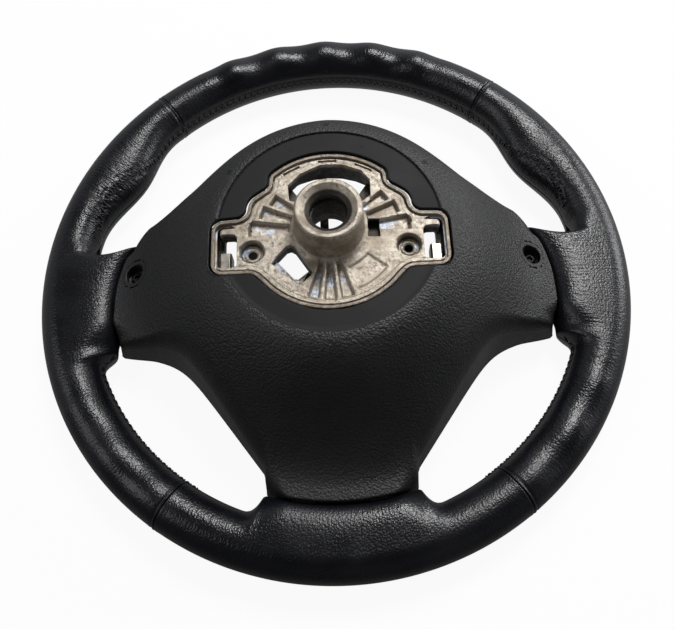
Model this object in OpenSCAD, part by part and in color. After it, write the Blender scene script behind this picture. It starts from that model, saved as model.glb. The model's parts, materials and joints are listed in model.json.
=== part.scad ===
// Leather sport steering wheel without its airbag, lying on the front of its rim.
// The steering axis is Z, +Y points to twelve o'clock and +Z to the steering column.
// The origin is on the axis, where the pilot bore of the hub begins.

/* [Rim] */
// Outside diameter of the rim
rim_d = 375; // [368:1:382]
// Thickness of the grip along the radius
grip_w = 30; // [28:0.5:32]
// Thickness of the grip along the axis
grip_h = 34; // [32:0.5:36]
// Thickness of the leather
leather_t = 1.2; // [1:0.1:1.4]
// Diameter of the cast ring inside the grip
core_d = 12; // [10:0.5:13]
// Angle from twelve o'clock to each upper leather seam
seam_top = 39.5; // [37:0.5:42]
// Angle from six o'clock to each lower leather seam
seam_bottom = 35.3; // [33:0.5:38]
// How far the thumb rests stand in from the rim
thumb_h = 10; // [6:0.5:12]
// Height of the finger waves on the back of the top arc
wave_h = 3; // [1:0.5:4]
// Angle between two finger waves
wave_pitch = 11.1; // [10:0.1:12]
// Height of the softer waves low on each side
low_wave_h = 1.6; // [0.5:0.1:2.5]
// How much thicker the grip is below the side spokes
low_grow = 1.9; // [0:0.1:2.5]

/* [Hub] */
// Distance from the hub mouth to the middle plane of the rim
dish = 86; // [82:1:90]
// Outside diameter of the boss at its end
boss_d = 37.6; // [36:0.2:40]
// Height of the chamfered end above the pilot bore
mouth_h = 4.5; // [3:0.5:6]
// Radius of the chamfer at the end of the boss
mouth_r = 16; // [15:0.2:16.6]
// Radius of the pilot bore
pilot_r = 10.4; // [10.2:0.1:11]
// Length of the pilot bore
pilot_len = 5; // [4:0.5:7]
// Radius at the tips of the spline teeth
spline_r = 9.1; // [8.8:0.1:9.3]
// Depth of the spline teeth
spline_tooth = 0.6; // [0.4:0.1:0.8]
// Number of spline teeth
spline_n = 72; // [60:4:80]
// Length of the spline
spline_len = 14; // [10:1:16]
// Thickness of the cast web
web_t = 8; // [7:0.5:9]
// Thickness of the cast ribs
rib_t = 2.2; // [1.8:0.1:2.8]
// Radius of the round part of the web
web_r = 49.2; // [48:0.2:50]
// Width of each window in the web
window_w = 11; // [9:0.5:12]
// Length of each window in the web
window_l = 26.6; // [24:0.2:28]
// Diameter of the two threaded holes in the web
screw_hole_d = 5; // [4:0.5:6]

/* [Cover] */
// Diameter of the smooth disc on the crown
disc_d = 127; // [124:1:130]
// Height of the disc above the middle plane of the rim
disc_h = 69.7; // [68:0.1:71]
// Wall of the back cover
cover_t = 2.6; // [2.2:0.1:3]
// Radius of the crown where it meets the front
crown_r = 87.5; // [86:0.5:90]
// Rounding between the crown and its side wall
cover_round = 12; // [9:0.5:14]
// Distance from the axis to the leather seam of a side spoke
seam_x = 137; // [135:0.5:139]
// Distance from the axis to the leather seam of the lower spoke
foot_seam = 143.5; // [142:0.5:145]
// Height of the upper edge of a side spoke at the seam
spoke_up = 23; // [21:0.5:25]
// Depth of the lower edge of a side spoke at the seam
spoke_low = 42; // [40:0.5:44]
// Half width of the lower spoke near the rim
foot_half = 44; // [41:0.5:47]
// Diameter of the screw recess in each side spoke
recess_d = 12; // [10:0.5:13]
// Distance from the axis to the screw recess
recess_x = 124; // [122:0.5:125]

/* [Front] */
// Depth of the front trim's face below the middle plane of the rim
trim_drop = 13; // [11.5:0.5:14.5]
// Wall of the front trim
trim_t = 2.4; // [2:0.1:2.8]
// Radius of the airbag pocket
pocket_r = 84; // [82.5:0.5:85]
// Depth of the pocket's wall
pocket_wall = 18; // [14:1:22]
// Width of each switch pack
pack_w = 28; // [26:0.5:30]
// Height of each switch pack
pack_h = 52; // [48:1:54]
// Travel of each push button
press = 1.2; // [0.8:0.1:1.5]
// Tilt of each rocker to either side
rock_deg = 3; // [2:0.5:4]
// Gap between a button and its well
button_gap = 0.3; // [0.25:0.05:0.4]
// Travel of each airbag retaining clip
clip_travel = 0.9; // [0.5:0.1:1]

/* [Hidden] */
$fn = 72;
eps = 0.01;

// Rim
rim_r = rim_d / 2;
rim_c = rim_r - grip_w / 2;
rim_z = -dish;
grip_n = 2.05;
tongue_n = 4.5;
ring_pts = 13;
fit_gap = 0.2;
foam_gap = 0.15;
thumb_q = 31;
thumb_span = 17;
wave_span = 30;
wave_phi = 110;
low_wave_q = -40;
low_wave_span = 17;
low_wave_pitch = 12;
butt = 0.3;
slit_h = 9;

// Spoke outline, seen along the axis
up_slope = 0.286;
low_slope = 0.198;
foot_slope = 0.724;
foot_y = 126;
seam_lean = 11;
lean_y = 16;
up_a = spoke_up + up_slope * seam_x;
low_a = spoke_low + low_slope * seam_x;
foot_a = foot_half + foot_slope * foot_y;
seam_top_x = seam_x - seam_lean;
seam_top_y = up_a - up_slope * seam_top_x;
seat_hi = atan2(seam_top_y, seam_top_x);
seat_lo = -atan2(spoke_low, seam_x);
foot_q = -90 + asin(foot_half / foot_seam);
seat_fade = 6;
low_tip = [seat_lo - 7, seat_lo - 1.6];
foot_tip = [foot_q + 7, foot_q + 0.9];
high_tip = [seat_hi - 1.9, seat_hi - 3.9];
tip_lean = 3;
flare = 5;
flare_q = 11.2;
flare_span = 9;
up_blend = 5.5;
low_blend = 14;
far = 1000;

// Heights of the cover and the trim
disc_r = disc_d / 2;
disc_z = rim_z + disc_h;
seam_z = rim_z + 15;
edge_z = rim_z - 8;
flange_z = rim_z + 9;
draft = 0.105;
groove_w = 0.8;
groove_d = 1.2;
disc_step = 0.4;
disc_lap = 1;
cut_gap = 1.2;
part_gap = 0.3;
trim_z = rim_z - trim_drop;
trim_fit = 0.3;
trim_end = 30;
trim_seam_z = rim_z - 9;
front_r = 0.6;

// Finger that guides the leads, below the boss
guide_x = -6;
guide_w = 5;
guide_y = 13;
guide_z = rim_z + 39;
guide_t = 2.6;

// Web of the armature
lip_z = disc_z - 1.5;
web_top = disc_z - 11.2;
web_bot = web_top - web_t;
pad_z = web_top + 3.5;
lip_t = 1.8;
lip_groove = 1.1;
lip_in = 2.2;
rib_boss_z = lip_z - 1;
rib_lip_z = lip_z - 3.5;
side_ribs = [140.6, 154.5, 169, 184.7];
foot_ribs = [250, 262, 275, 288];
fan_in = 15;
ear_x = 66.8;
ear_r = 6.5;
ear_top = 7.5;
ear_low = 26;
window_x = 58.6;
window_y = -8.5;
screw_x = 44.1;
screw_y = -12.3;
recess_under_r = 24;
under_z = rim_z + 56;
relief_r = 12.5;
pin_depth = 4.4;

// Bars from the web to the ring
bar_t = 8;
bar_knee_r = 112;
bar_knee_z = rim_z + 9;
bar_ring_z = rim_z + 4.5;
bar_start_r = 68;
bar_gap = 0.4;
foot_bar_q = 9;
foot_bar_w = 13;

// Screws through the side spokes
seat_z = rim_z + 8.7;
seat_t = 2;
head_r = 3.8;
head_h = 2.6;
shank_r = 1.9;
tube_t = 1.6;
boss_r = 4.4;
boss_top = rim_z - 0.8;
thread_gap = 0.05;

// Switch packs
pack_x = 103;
pack_y = -9;
pack_r = 5;
pack_proud = 0.4;
pack_d = 11;
key_w = pack_w * 0.4;
key_l = pack_h / 4;
key_r = 2.6;
key_step = 0.9;
rocker_l = pack_h * 0.3365;
key_d = 5.6;
key_proud = 1.2;
well_floor = 2;
pin_r = 1.1;
pin_gap = 0.06;
pin_out = 1.4;

// Retaining clips
clip_t = 1.1;
clip_w = 10;
clip_reach = 6;
clip_y = -13;
clip_leg = 9;
ledge_w = 3;
ledge_z = pad_z - 5;

// Curves shared by the pieces
function rise(t) = t <= 0 ? 0 : t >= 1 ? 1 : t * t * (3 - 2 * t);
function mix(a, b, t) = a + (b - a) * t;
function bell(t) = abs(t) >= 1 ? 0 : 0.5 + 0.5 * cos(180 * t);
function power(v, e) = sign(v) * pow(abs(v), e);
function fold(a) = asin(sin(a));
function polar(r, a, z) = [r * cos(a), r * sin(a), z];
function spread(keys, counts) = concat(
    [for (k = [0:len(counts) - 1]) for (i = [0:counts[k] - 1])
        mix(keys[k], keys[k + 1], i / counts[k])],
    [keys[len(counts)]]);
function mirrored(q) = [for (i = [len(q) - 1:-1:0]) 180 - q[i]];
function inner_part(v) = [for (i = [1:len(v) - 2]) v[i]];

// How firmly a station sits on a spoke: 1 in its middle, 0 off it
function seat(q) = max(
    rise((seat_hi - q) / seat_fade) * rise((q - seat_lo) / seat_fade),
    rise((foot_q - q) / seat_fade));
// How far the leather reaches in over a spoke: 1 to the seam, 0 not at all
function toward(q, ends) = min(1, max(0, (q - ends[0]) / (ends[1] - ends[0])));
function tongue(q) = max(rise(toward(q, high_tip)) * pow(toward(q, low_tip), 5),
    pow(toward(q, foot_tip), 5));
// How far the end of the leather leans up along the seam at an upper corner
function tilt(q) = tip_lean * bell((q - seat_hi + 4.7) / 8);
// How sharp the cover's upper edge is: 1 on a spoke, 0 on the crown
function firm(q) = q > 0 ? max(seat(q), 0.7 * bell((q - seat_hi) / 16)) : seat(q);

// Radius of the seam between cover and leather
function lean(q) = seam_lean * pow(max(0, (seam_x * tan(q) + lean_y) / (seam_top_y + lean_y)), 2);
function seam_r(q) = q < -60 ? foot_seam
    : q < -32 || q > seat_hi + 4 ? far : (seam_x - lean(q)) / cos(q);
// Radius of the spokes and the crown, where the cover meets the front
function side_r(q) = min(
    up_a / max(0.05, sin(q) + up_slope * cos(q)),
    low_a / max(0.05, low_slope * cos(q) - sin(q)));
function foot_r(q) = foot_a / (cos(q) - foot_slope * sin(q));
function blended(a, b, k) = pow(pow(a, k) + pow(b, k), 1 / k);
function lobes(q) = q > 0
    ? blended(side_r(q), crown_r, up_blend) + flare * bell((q - flare_q) / flare_span)
    : blended(side_r(q), foot_r(q), low_blend);
function edge_r(q) = min(lobes(q), seam_r(q));
// Height of the cover's outside before its edges are rounded
function top_z(r) = mix(disc_z, seam_z, rise((r - disc_r) / (seam_x - disc_r)));

// Section of the grip
end_r = seam_r(seat_hi);
function turn(q, r) = tilt(q) * max(0, rim_c - r) / (rim_c - end_r);
function turned_seam(q) = seam_r(q + turn(q, seam_r(q + 0.9 * tilt(q))));
function grip_in(q) = mix(rim_r - grip_w - thumb_h * bell((q - thumb_q) / thumb_span)
    - low_grow * rise((seat_lo + 5 - q) / 6), min(turned_seam(q), rim_r - grip_w) + fit_gap, tongue(q));
function top_wave(a) = wave_h / 2 * cos(360 * (a - 90) / wave_pitch) * rise((wave_span - abs(a - 90)) / 8);
function low_wave(q) = low_wave_h / 2 * cos(360 * (q - low_wave_q) / low_wave_pitch)
    * rise((low_wave_span - abs(q - low_wave_q)) / 6);
function waves(a, phi) = (top_wave(a) + low_wave(fold(a))) * max(0, cos(phi - wave_phi));
function section_n(q, phi) = cos(phi) > 0
    ? mix(grip_n, tongue_n, max(seat(q), q > 0 ? 0.7 * tongue(q) : 0)) : grip_n;
function section_w(q, phi) = cos(phi) > 0 ? rim_c - grip_in(q) : grip_w / 2;
function grip_point(a, phi, inset) = let (q = fold(a), n = section_n(q, phi),
        d = power(cos(phi), 2 / n) * (section_w(q, phi) - inset))
    polar(rim_c - d, a + sign(cos(a)) * turn(q, rim_c - d),
        rim_z + power(sin(phi), 2 / n) * (grip_h / 2 - inset + waves(a, phi)));
function slit_phi(q) = asin(pow(mix(butt, slit_h, seat(q)) / (grip_h / 2), section_n(q, 0) / 2));
function grip_loop(a, inset) = let (p = slit_phi(fold(a)))
    [for (i = [0:ring_pts]) grip_point(a, mix(p, 360 - p, i / ring_pts), inset)];
function flipped(v) = [for (i = [len(v) - 1:-1:0]) v[i]];
function hide_ring(a) = concat(grip_loop(a, 0), flipped(grip_loop(a, leather_t)));

// Stations round the rim, denser where the section changes
side_keys = [seam_bottom - 90, low_wave_q - 3, low_tip[0], mix(low_tip[0], low_tip[1], 0.6), low_tip[1],
    seat_lo + seat_fade, seat_hi - seat_fade - 1, high_tip[1], high_tip[0], seat_hi + 2,
    thumb_q - thumb_span + 2, 90 - seam_top];
side_q = spread(side_keys, [4, 5, 1, 4, 3, 4, 2, 3, 1, 1, 7]);
foot_keys = [seam_bottom - 90, foot_tip[0], mix(foot_tip[0], foot_tip[1], 0.6), foot_tip[1],
    foot_q - seat_fade, -90];
foot_right = spread(foot_keys, [3, 1, 4, 2, 2]);
top_a = spread([90 - seam_top, 90 + seam_top], [30]);
right_a = side_q;
left_a = mirrored(side_q);

module swept(rings, closed, turned = false) {
    n = len(rings);
    m = len(rings[0]);
    last = closed ? n - 1 : n - 2;
    walls = [for (i = [0:last]) for (j = [0:m - 1])
        let (a = i * m + j, b = i * m + (j + 1) % m,
            c = ((i + 1) % n) * m + (j + 1) % m, d = ((i + 1) % n) * m + j)
        each turned ? [[a, d, b], [b, d, c]] : [[a, c, b], [a, d, c]]];
    caps = closed ? [] : [[for (j = [0:m - 1]) j], [for (j = [m - 1:-1:0]) (n - 1) * m + j]];
    polyhedron(points = [for (ring = rings) each ring], faces = concat(walls, caps));
}

module hide(stations) {
    color([0.06, 0.06, 0.065]) swept([for (a = stations) hide_ring(a)], false);
}

function arc(cx, cy, r, a0, a1, n) = [for (i = [0:n]) let (a = mix(a0, a1, i / n))
    [cx + r * cos(a), cy + r * sin(a)]];
// Right half of the web's outline from twelve to six o'clock, grown by g
function web_half(g) = concat(
    arc(0, 0, web_r + g, 90, 50, 8),
    arc((web_r - 6) * cos(50), (web_r - 6) * sin(50), 6 + g, 40, 0, 3),
    arc(40.2, 31.5, 6.4 - g, 180, 245, 3),
    arc(36.5, 14.5, 9.7 + g, 55, 5, 4),
    arc(53.6, 15.3, 7.4 - g, 185, 262, 4),
    arc(ear_x - ear_r, ear_top - ear_r, ear_r + g, 90, 0, 5),
    arc(ear_x - ear_r, ear_r - ear_low, ear_r + g, 0, -90, 5),
    arc(46.5, -ear_low - 8, 8 - g, 90, 145, 4),
    arc(0, 0, web_r + g, -38, -90, 10));
function web_outline(g) = let (h = web_half(g))
    concat(h, [for (i = [len(h) - 2:-1:1]) [-h[i][0], h[i][1]]]);

module slab(z0, z1) {
    translate([0, 0, z0]) linear_extrude(z1 - z0) children();
}

module rounded_box(w, l, r) {
    polygon(concat(arc(w / 2 - r, l / 2 - r, r, 0, 90, 5), arc(r - w / 2, l / 2 - r, r, 90, 180, 5),
        arc(r - w / 2, r - l / 2, r, 180, 270, 5), arc(w / 2 - r, r - l / 2, r, 270, 360, 5)));
}

module sector(r0, r1, a0, a1) {
    polygon(concat(arc(0, 0, r1, a0, a1, 6), arc(0, 0, r0, a1, a0, 6)));
}

// Bar from the web to the ring, grown by g, along +X
module bar(r0, w0, w1, g) {
    intersection() {
        translate([0, 100, 0]) rotate([90, 0, 0]) linear_extrude(200)
            polygon([[r0, web_top + g], [bar_start_r, web_top - 1 + g], [bar_knee_r, bar_knee_z + g],
                [rim_c, bar_ring_z + g], [rim_c, bar_ring_z - bar_t - g],
                [bar_knee_r, bar_knee_z - bar_t - g], [bar_start_r, web_bot - g], [r0, web_bot - g]]);
        slab(rim_z - 50, 0) polygon([[r0, w0[0] - g], [rim_c, w1[0] - g], [rim_c, w1[1] + g],
            [r0, w0[1] + g]]);
    }
}

module bars(g) {
    for (side = [0, 1]) mirror([side, 0, 0]) {
        bar(54, [-24, 7], [-20, 13], g);
        rotate([0, 0, foot_bar_q - 90]) bar(42, [-foot_bar_w / 2, foot_bar_w / 2],
            [-foot_bar_w / 2, foot_bar_w / 2], g);
    }
}

module rib(a, r1) {
    rotate([0, 0, a]) translate([0, rib_t / 2, 0]) rotate([90, 0, 0]) linear_extrude(rib_t)
        polygon([[boss_d / 2 - 2, web_top - 1], [boss_d / 2 - 2, rib_boss_z], [r1, rib_lip_z],
            [r1, web_top - 1]]);
}

module boss() {
    rotate_extrude() polygon([[0, under_z], [boss_d / 2 + 5, under_z], [boss_d / 2 + 5, web_top],
        [boss_d / 2 + 1.6, web_top + 4], [boss_d / 2, mouth_h - 1], [boss_d / 2 - 1, mouth_h],
        [0, mouth_h]]);
}

module spline_hole() {
    slab(-pilot_len - spline_len, -pilot_len + eps)
        polygon([for (i = [0:2 * spline_n - 1]) let (r = spline_r + (i % 2) * spline_tooth)
            [r * cos(180 * i / spline_n), r * sin(180 * i / spline_n)]]);
}

module lozenge() {
    polygon([[-32.7, -14.2], [-31.6, -11.6], [-24.6, -5], [-22, -5.6], [-10.8, -20], [-11.4, -22.6],
        [-18.6, -28.4], [-21, -28]]);
}

// Pan of the web inside its double lip
lip_w = lip_t + lip_groove + lip_in;
module web_pan() {
    difference() {
        slab(web_bot, lip_z) polygon(web_outline(0));
        slab(web_top, lip_z + 1) polygon(web_outline(-lip_w));
        slab(lip_z - 1, lip_z + 2) polygon(web_outline(-lip_t - lip_groove / 2));
        slab(lip_z - 3.4, lip_z + 3) difference() {
            polygon(web_outline(-lip_t));
            polygon(web_outline(-lip_t - lip_groove));
        }
    }
}

module armature() {
    color([0.62, 0.58, 0.53]) difference() {
        union() {
            web_pan();
            slab(web_top - 1, pad_z) intersection() {
                polygon(web_outline(-lip_w + 0.6));
                union() {
                    translate([ear_x - 15, -60]) square([30, 90]);
                    translate([-ear_x - 15, -60]) square([30, 90]);
                    sector(fan_in, 60, -70, -12);
                    sector(fan_in, 60, 192, 242);
                }
            }
            boss();
            for (a = side_ribs) {
                rib(a, a > 160 ? 50 : 45.5);
                rib(180 - a, a > 160 ? 50 : 45.5);
            }
            for (a = foot_ribs) rib(a, 47.2);
            difference() {
                bars(0);
                translate([0, 0, rim_z - 60]) cylinder(r = 40, h = 60);
            }
            translate([0, 0, rim_z]) rotate_extrude($fn = 60) translate([rim_c, 0])
                circle(d = core_d, $fn = 18);
        }
        // Mouth, pilot bore, spline and the bolt's room below
        rotate_extrude() polygon([[0, 0], [pilot_r, 0], [mouth_r, mouth_h + eps], [0, mouth_h + eps]]);
        translate([0, 0, -pilot_len]) cylinder(r = pilot_r, h = pilot_len + eps);
        spline_hole();
        translate([0, 0, under_z - 1])
            cylinder(r = relief_r, h = -pilot_len - spline_len + eps - under_z + 1);
        translate([0, 0, web_bot - 1]) cylinder(r = recess_under_r, h = under_z - web_bot + 1);
        // Arched opening above the boss
        slab(web_bot - 1, 0) difference() {
            sector(boss_d / 2 + 4.4, web_r - 5.4, 56, 124);
            circle(r = boss_d / 2 + 4);
        }
        slab(web_bot - 1, 0) lozenge();
        for (side = [-1, 1]) {
            slab(ledge_z, 0) translate([side * window_x, window_y])
                rounded_box(window_w, window_l, 3.4);
            slab(web_bot - 1, ledge_z + eps) translate([side * (window_x - ledge_w / 2), window_y])
                rounded_box(window_w - ledge_w, window_l, 3);
            translate([side * screw_x, screw_y, side < 0 ? web_bot - 1 : web_bot + 2])
                cylinder(d = screw_hole_d, h = 30);
            translate([side * screw_x, screw_y, pad_z - 3]) cylinder(d = screw_hole_d + 4, h = 10);
            translate([side * recess_x, 1, rim_z - 20]) cylinder(r = shank_r + 1.2, h = 60);
            translate([side * recess_x, 1, seat_z]) cylinder(r = recess_d / 2 + tube_t + 0.4, h = 30);
        }
        // Slots in the lip
        for (a = [62, 90, 118]) rotate([0, 0, a]) translate([web_r - lip_t - 3.4, -5.5, lip_z - 3])
            cube([1.4, 11, 4]);
        // Square pocket beside the boss
        translate([boss_d / 2 + 3, -3.5, web_top + 1]) cube([6.5, 9, 20]);
    }
}

module rim_foam() {
    color([0.16, 0.16, 0.17]) difference() {
        swept([for (a = concat(right_a, inner_part(top_a), left_a, inner_part(lower_a())))
            grip_loop(a, leather_t + foam_gap)], true, true);
        translate([0, 0, rim_z]) rotate_extrude($fn = 60) translate([rim_c, 0])
            circle(d = core_d + 2 * fit_gap, $fn = 18);
        bars(bar_gap);
    }
}
// Stations of the lower panel, from its left seam to its right seam
function lower_a() = concat([for (q = foot_right) 180 - q], inner_part(flipped(foot_right)),
    [foot_right[0] + 360]);

module leather_top() { hide(top_a); }
module leather_right() { hide(right_a); }
module leather_left() { hide(left_a); }
module leather_bottom() { hide(lower_a()); }

// Back cover
cover_keys = [-90, foot_q - seat_fade, foot_q, -45, seat_lo - 5, seat_lo, seat_lo + seat_fade,
    seat_hi - seat_fade, seat_hi + 1, 30, 90];
cover_q = spread(cover_keys, [2, 2, 4, 5, 2, 2, 5, 3, 4, 6]);
bend_steps = [30, 60, 90];
roof_n = 5;
function roof(q, t) = let (e = firm(q), b = edge_r(q),
        bs = b - t - (1 - e) * draft * (top_z(b) - edge_z),
        rr = max(0.5, mix(cover_round, 1, e) - t), ra = bs - rr, r0 = disc_r - disc_lap)
    concat([for (i = [0:roof_n]) let (r = mix(r0, ra, i / roof_n)) [r, top_z(r) - 1.12 * t]],
        [for (k = bend_steps) let (r = ra + rr * sin(k)) [r, top_z(r) - 1.12 * t - rr * (1 - cos(k))]],
        [[b - t, mix(edge_z, flange_z, seat(q))]]);
function cover_ring(a) = let (q = fold(a)) [for (p = concat(roof(q, 0), flipped(roof(q, cover_t))))
    polar(p[0], a, p[1])];

// Tube round the screw recess, cut off inside the sloping wall
tube_r = recess_d / 2 + tube_t;
tube_hi = top_z(recess_x - tube_r);
tube_lo = top_z(recess_x + tube_r);
module screw_tube() {
    difference() {
        translate([recess_x, 1, seat_z]) cylinder(r = tube_r, h = 30);
        translate([recess_x, 1, (tube_hi + tube_lo) / 2 - cover_t * 0.8])
            rotate([0, atan2(tube_hi - tube_lo, 2 * tube_r), 0])
            translate([-50, -50, 0]) cube(100);
    }
}

module back_cover() {
    color([0.09, 0.09, 0.095]) difference() {
        union() {
            swept([for (a = concat(cover_q, inner_part(mirrored(cover_q)))) cover_ring(a)], true);
            translate([0, 0, disc_z - disc_step - cover_t]) cylinder(r = disc_r + 1, h = cover_t);
            for (side = [0, 1]) mirror([side, 0, 0]) screw_tube();
            translate([guide_x, guide_y, guide_z]) cube([guide_w, lobes(90) - 8 - guide_y, guide_t]);
        }
        translate([0, 0, disc_z - groove_d]) difference() {
            cylinder(r = disc_r + groove_w / 2, h = 10);
            translate([0, 0, -1]) cylinder(r = disc_r - groove_w / 2, h = 12);
        }
        slab(disc_z - 10, disc_z + 10) polygon(web_outline(cut_gap));
        for (side = [-1, 1]) translate([side * recess_x, 1, 0]) {
            translate([0, 0, seat_z + seat_t]) cylinder(d = recess_d, h = 60);
            translate([0, 0, seat_z - 1]) cylinder(r = shank_r + 0.3, h = 10);
        }
    }
}

// Front trim round the lower three quarters of the airbag pocket
trim_keys = [trim_end, seat_hi, seat_hi - seat_fade, seat_lo + seat_fade, seat_lo, seat_lo - 5, -45,
    foot_q, foot_q - seat_fade, -90];
trim_q = spread(trim_keys, [3, 2, 2, 2, 2, 3, 3, 2, 2]);
trim_a = concat([for (q = trim_q) -180 - q], inner_part(flipped(trim_q)), [trim_end]);
function trim_ring(a) = let (q = fold(a), b = edge_r(q), m = (b + pocket_r) / 2,
        zt = mix(edge_z - part_gap, trim_seam_z, seat(q)), t = trim_t, z = trim_z)
    [for (p = [[pocket_r, z + pocket_wall], [pocket_r + t, z + pocket_wall], [pocket_r + t, z + t + 0.4],
            [m, z + t - front_r], [b - t - 1, z + t + 0.6], [b - t, zt], [b, zt], [b, z + 3],
            [b - 0.6, z + 1.4], [b - 3, z + 0.2], [m, z - front_r], [pocket_r + 1.2, z],
            [pocket_r, z + 1.2]]) polar(p[0], a, p[1])];

module each_side(side) {
    mirror([side < 0 ? 1 : 0, 0, 0]) children();
}

module front_trim() {
    color([0.13, 0.13, 0.14]) difference() {
        union() {
            swept([for (a = trim_a) trim_ring(a)], false);
            for (side = [-1, 1]) translate([side * recess_x, 1, trim_z + 1.2])
                cylinder(r = boss_r, h = boss_top - trim_z - 1.2);
        }
        for (side = [-1, 1]) {
            translate([side * recess_x, 1, trim_z + 2]) cylinder(r = shank_r + thread_gap, h = 40);
            slab(trim_z - 5, trim_z + 8) translate([side * pack_x, pack_y])
                rounded_box(pack_w + 2 * trim_fit, pack_h + 2 * trim_fit, pack_r + trim_fit);
        }
    }
}

module trim_screw(side) {
    color([0.30, 0.30, 0.32]) translate([side * recess_x, 1, 0]) difference() {
        rotate_extrude() polygon([[0, trim_z + 4], [shank_r - 0.6, trim_z + 4], [shank_r, trim_z + 5.2],
            [shank_r, seat_z + seat_t], [head_r, seat_z + seat_t], [head_r, seat_z + seat_t + 1.6],
            [head_r - 1, seat_z + seat_t + head_h], [0, seat_z + seat_t + head_h]]);
        translate([0, 0, seat_z + seat_t + 0.8]) cylinder(r = 1.9, h = 5, $fn = 6);
    }
}

// Switch pack: four push buttons round a rocker
face_z = trim_z - front_r - pack_proud;
keys_x = [-(key_w + key_step) / 2, (key_w + key_step) / 2];
keys_y = (rocker_l + key_l) / 2 + key_step;
rocker_w = 2 * key_w + key_step;
function key_place(n) = [keys_x[n % 2], n < 2 ? keys_y : -keys_y];

module switch_pack(side) {
    color([0.10, 0.10, 0.105]) each_side(side) translate([pack_x, pack_y, 0]) difference() {
        union() {
            slab(face_z, face_z + pack_d) rounded_box(pack_w, pack_h, pack_r);
            slab(trim_z + trim_t + 1, face_z + pack_d) rounded_box(pack_w + 5, pack_h + 5, pack_r + 2);
        }
        for (n = [0:3]) slab(face_z - 1, face_z + pack_d - well_floor) translate(key_place(n))
            rounded_box(key_w + 2 * button_gap, key_l + 2 * button_gap, key_r + button_gap);
        slab(face_z - 1, face_z + pack_d - well_floor)
            rounded_box(rocker_w + 2 * button_gap, rocker_l + 2 * button_gap, key_r + button_gap);
        translate([0, 0, face_z + pin_depth]) rotate([90, 0, 0])
            cylinder(r = pin_r + pin_gap, h = rocker_l + 2 * button_gap + 2 * pin_out, center = true);
    }
}

module push_button(side, n) {
    top = face_z - key_proud;
    color([0.12, 0.12, 0.125]) each_side(side) translate([pack_x, pack_y, 0])
        translate(key_place(n)) difference() {
        union() {
            slab(top + 0.5, top + key_d + key_proud) rounded_box(key_w, key_l, key_r);
            slab(top, top + 1) rounded_box(key_w - 1, key_l - 1, key_r - 0.5);
        }
        slab(top + 1.8, top + 20) rounded_box(key_w - 2.4, key_l - 2.4, key_r - 1.2);
    }
}

module rocker(side) {
    top = face_z - key_proud;
    color([0.12, 0.12, 0.125]) each_side(side) translate([pack_x, pack_y, 0]) {
        difference() {
            union() {
                slab(top + 0.5, face_z + key_d) rounded_box(rocker_w - 0.5, rocker_l, key_r);
                slab(top, top + 1) rounded_box(rocker_w - 1.6, rocker_l - 1, key_r - 0.5);
            }
            slab(top + 1.8, top + 20) rounded_box(rocker_w - 3, rocker_l - 2.4, key_r - 1.2);
            translate([0, 30, top - 46.2]) rotate([90, 0, 0]) cylinder(r = 46.8, h = 60);
        }
        translate([0, 0, face_z + pin_depth]) rotate([90, 0, 0])
            cylinder(r = pin_r, h = rocker_l + 2 * pin_out, center = true);
    }
}

// Folded clip: a flat foot on the ledge and a leg down into the window
module clip(side) {
    outer = window_x + window_w / 2 - clip_travel - 0.3;
    color([0.66, 0.63, 0.58]) each_side(side) translate([0, clip_y + clip_w / 2, 0])
        rotate([90, 0, 0]) linear_extrude(clip_w)
        polygon([[outer, ledge_z + fit_gap], [outer, ledge_z + fit_gap + clip_t],
            [outer - clip_reach + 1, ledge_z + fit_gap + clip_t],
            [outer - clip_reach, ledge_z + fit_gap + clip_t - 1],
            [outer - clip_reach, ledge_z - clip_leg], [outer - clip_reach + clip_t, ledge_z - clip_leg],
            [outer - clip_reach + clip_t, ledge_z + fit_gap]]);
}

armature();
rim_foam();
leather_top();
leather_left();
leather_right();
leather_bottom();
back_cover();
front_trim();
clip(-1);  // clip_left
clip(1);  // clip_right
trim_screw(-1);  // trim_screw_left
trim_screw(1);  // trim_screw_right
switch_pack(-1);  // switch_left
switch_pack(1);  // switch_right
rocker(-1);  // rocker_left
rocker(1);  // rocker_right
push_button(-1, 0);  // button_left_1
push_button(-1, 1);  // button_left_2
push_button(-1, 2);  // button_left_3
push_button(-1, 3);  // button_left_4
push_button(1, 0);  // button_right_1
push_button(1, 1);  // button_right_2
push_button(1, 2);  // button_right_3
push_button(1, 3);  // button_right_4
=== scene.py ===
"""Looks of a leather steering wheel without its airbag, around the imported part's frame.

The leather, the foam under it, the back cover and the front trim are rebuilt smooth
from the curves of the part's source, and the cast web gets a softer, rougher face.
Every other node keeps its solid and gets a finish. Lengths are millimetres until a
mesh is made, and angles are degrees.
"""
import json

import bmesh
import bpy
import numpy as np
from mathutils import Matrix, Vector

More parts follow.
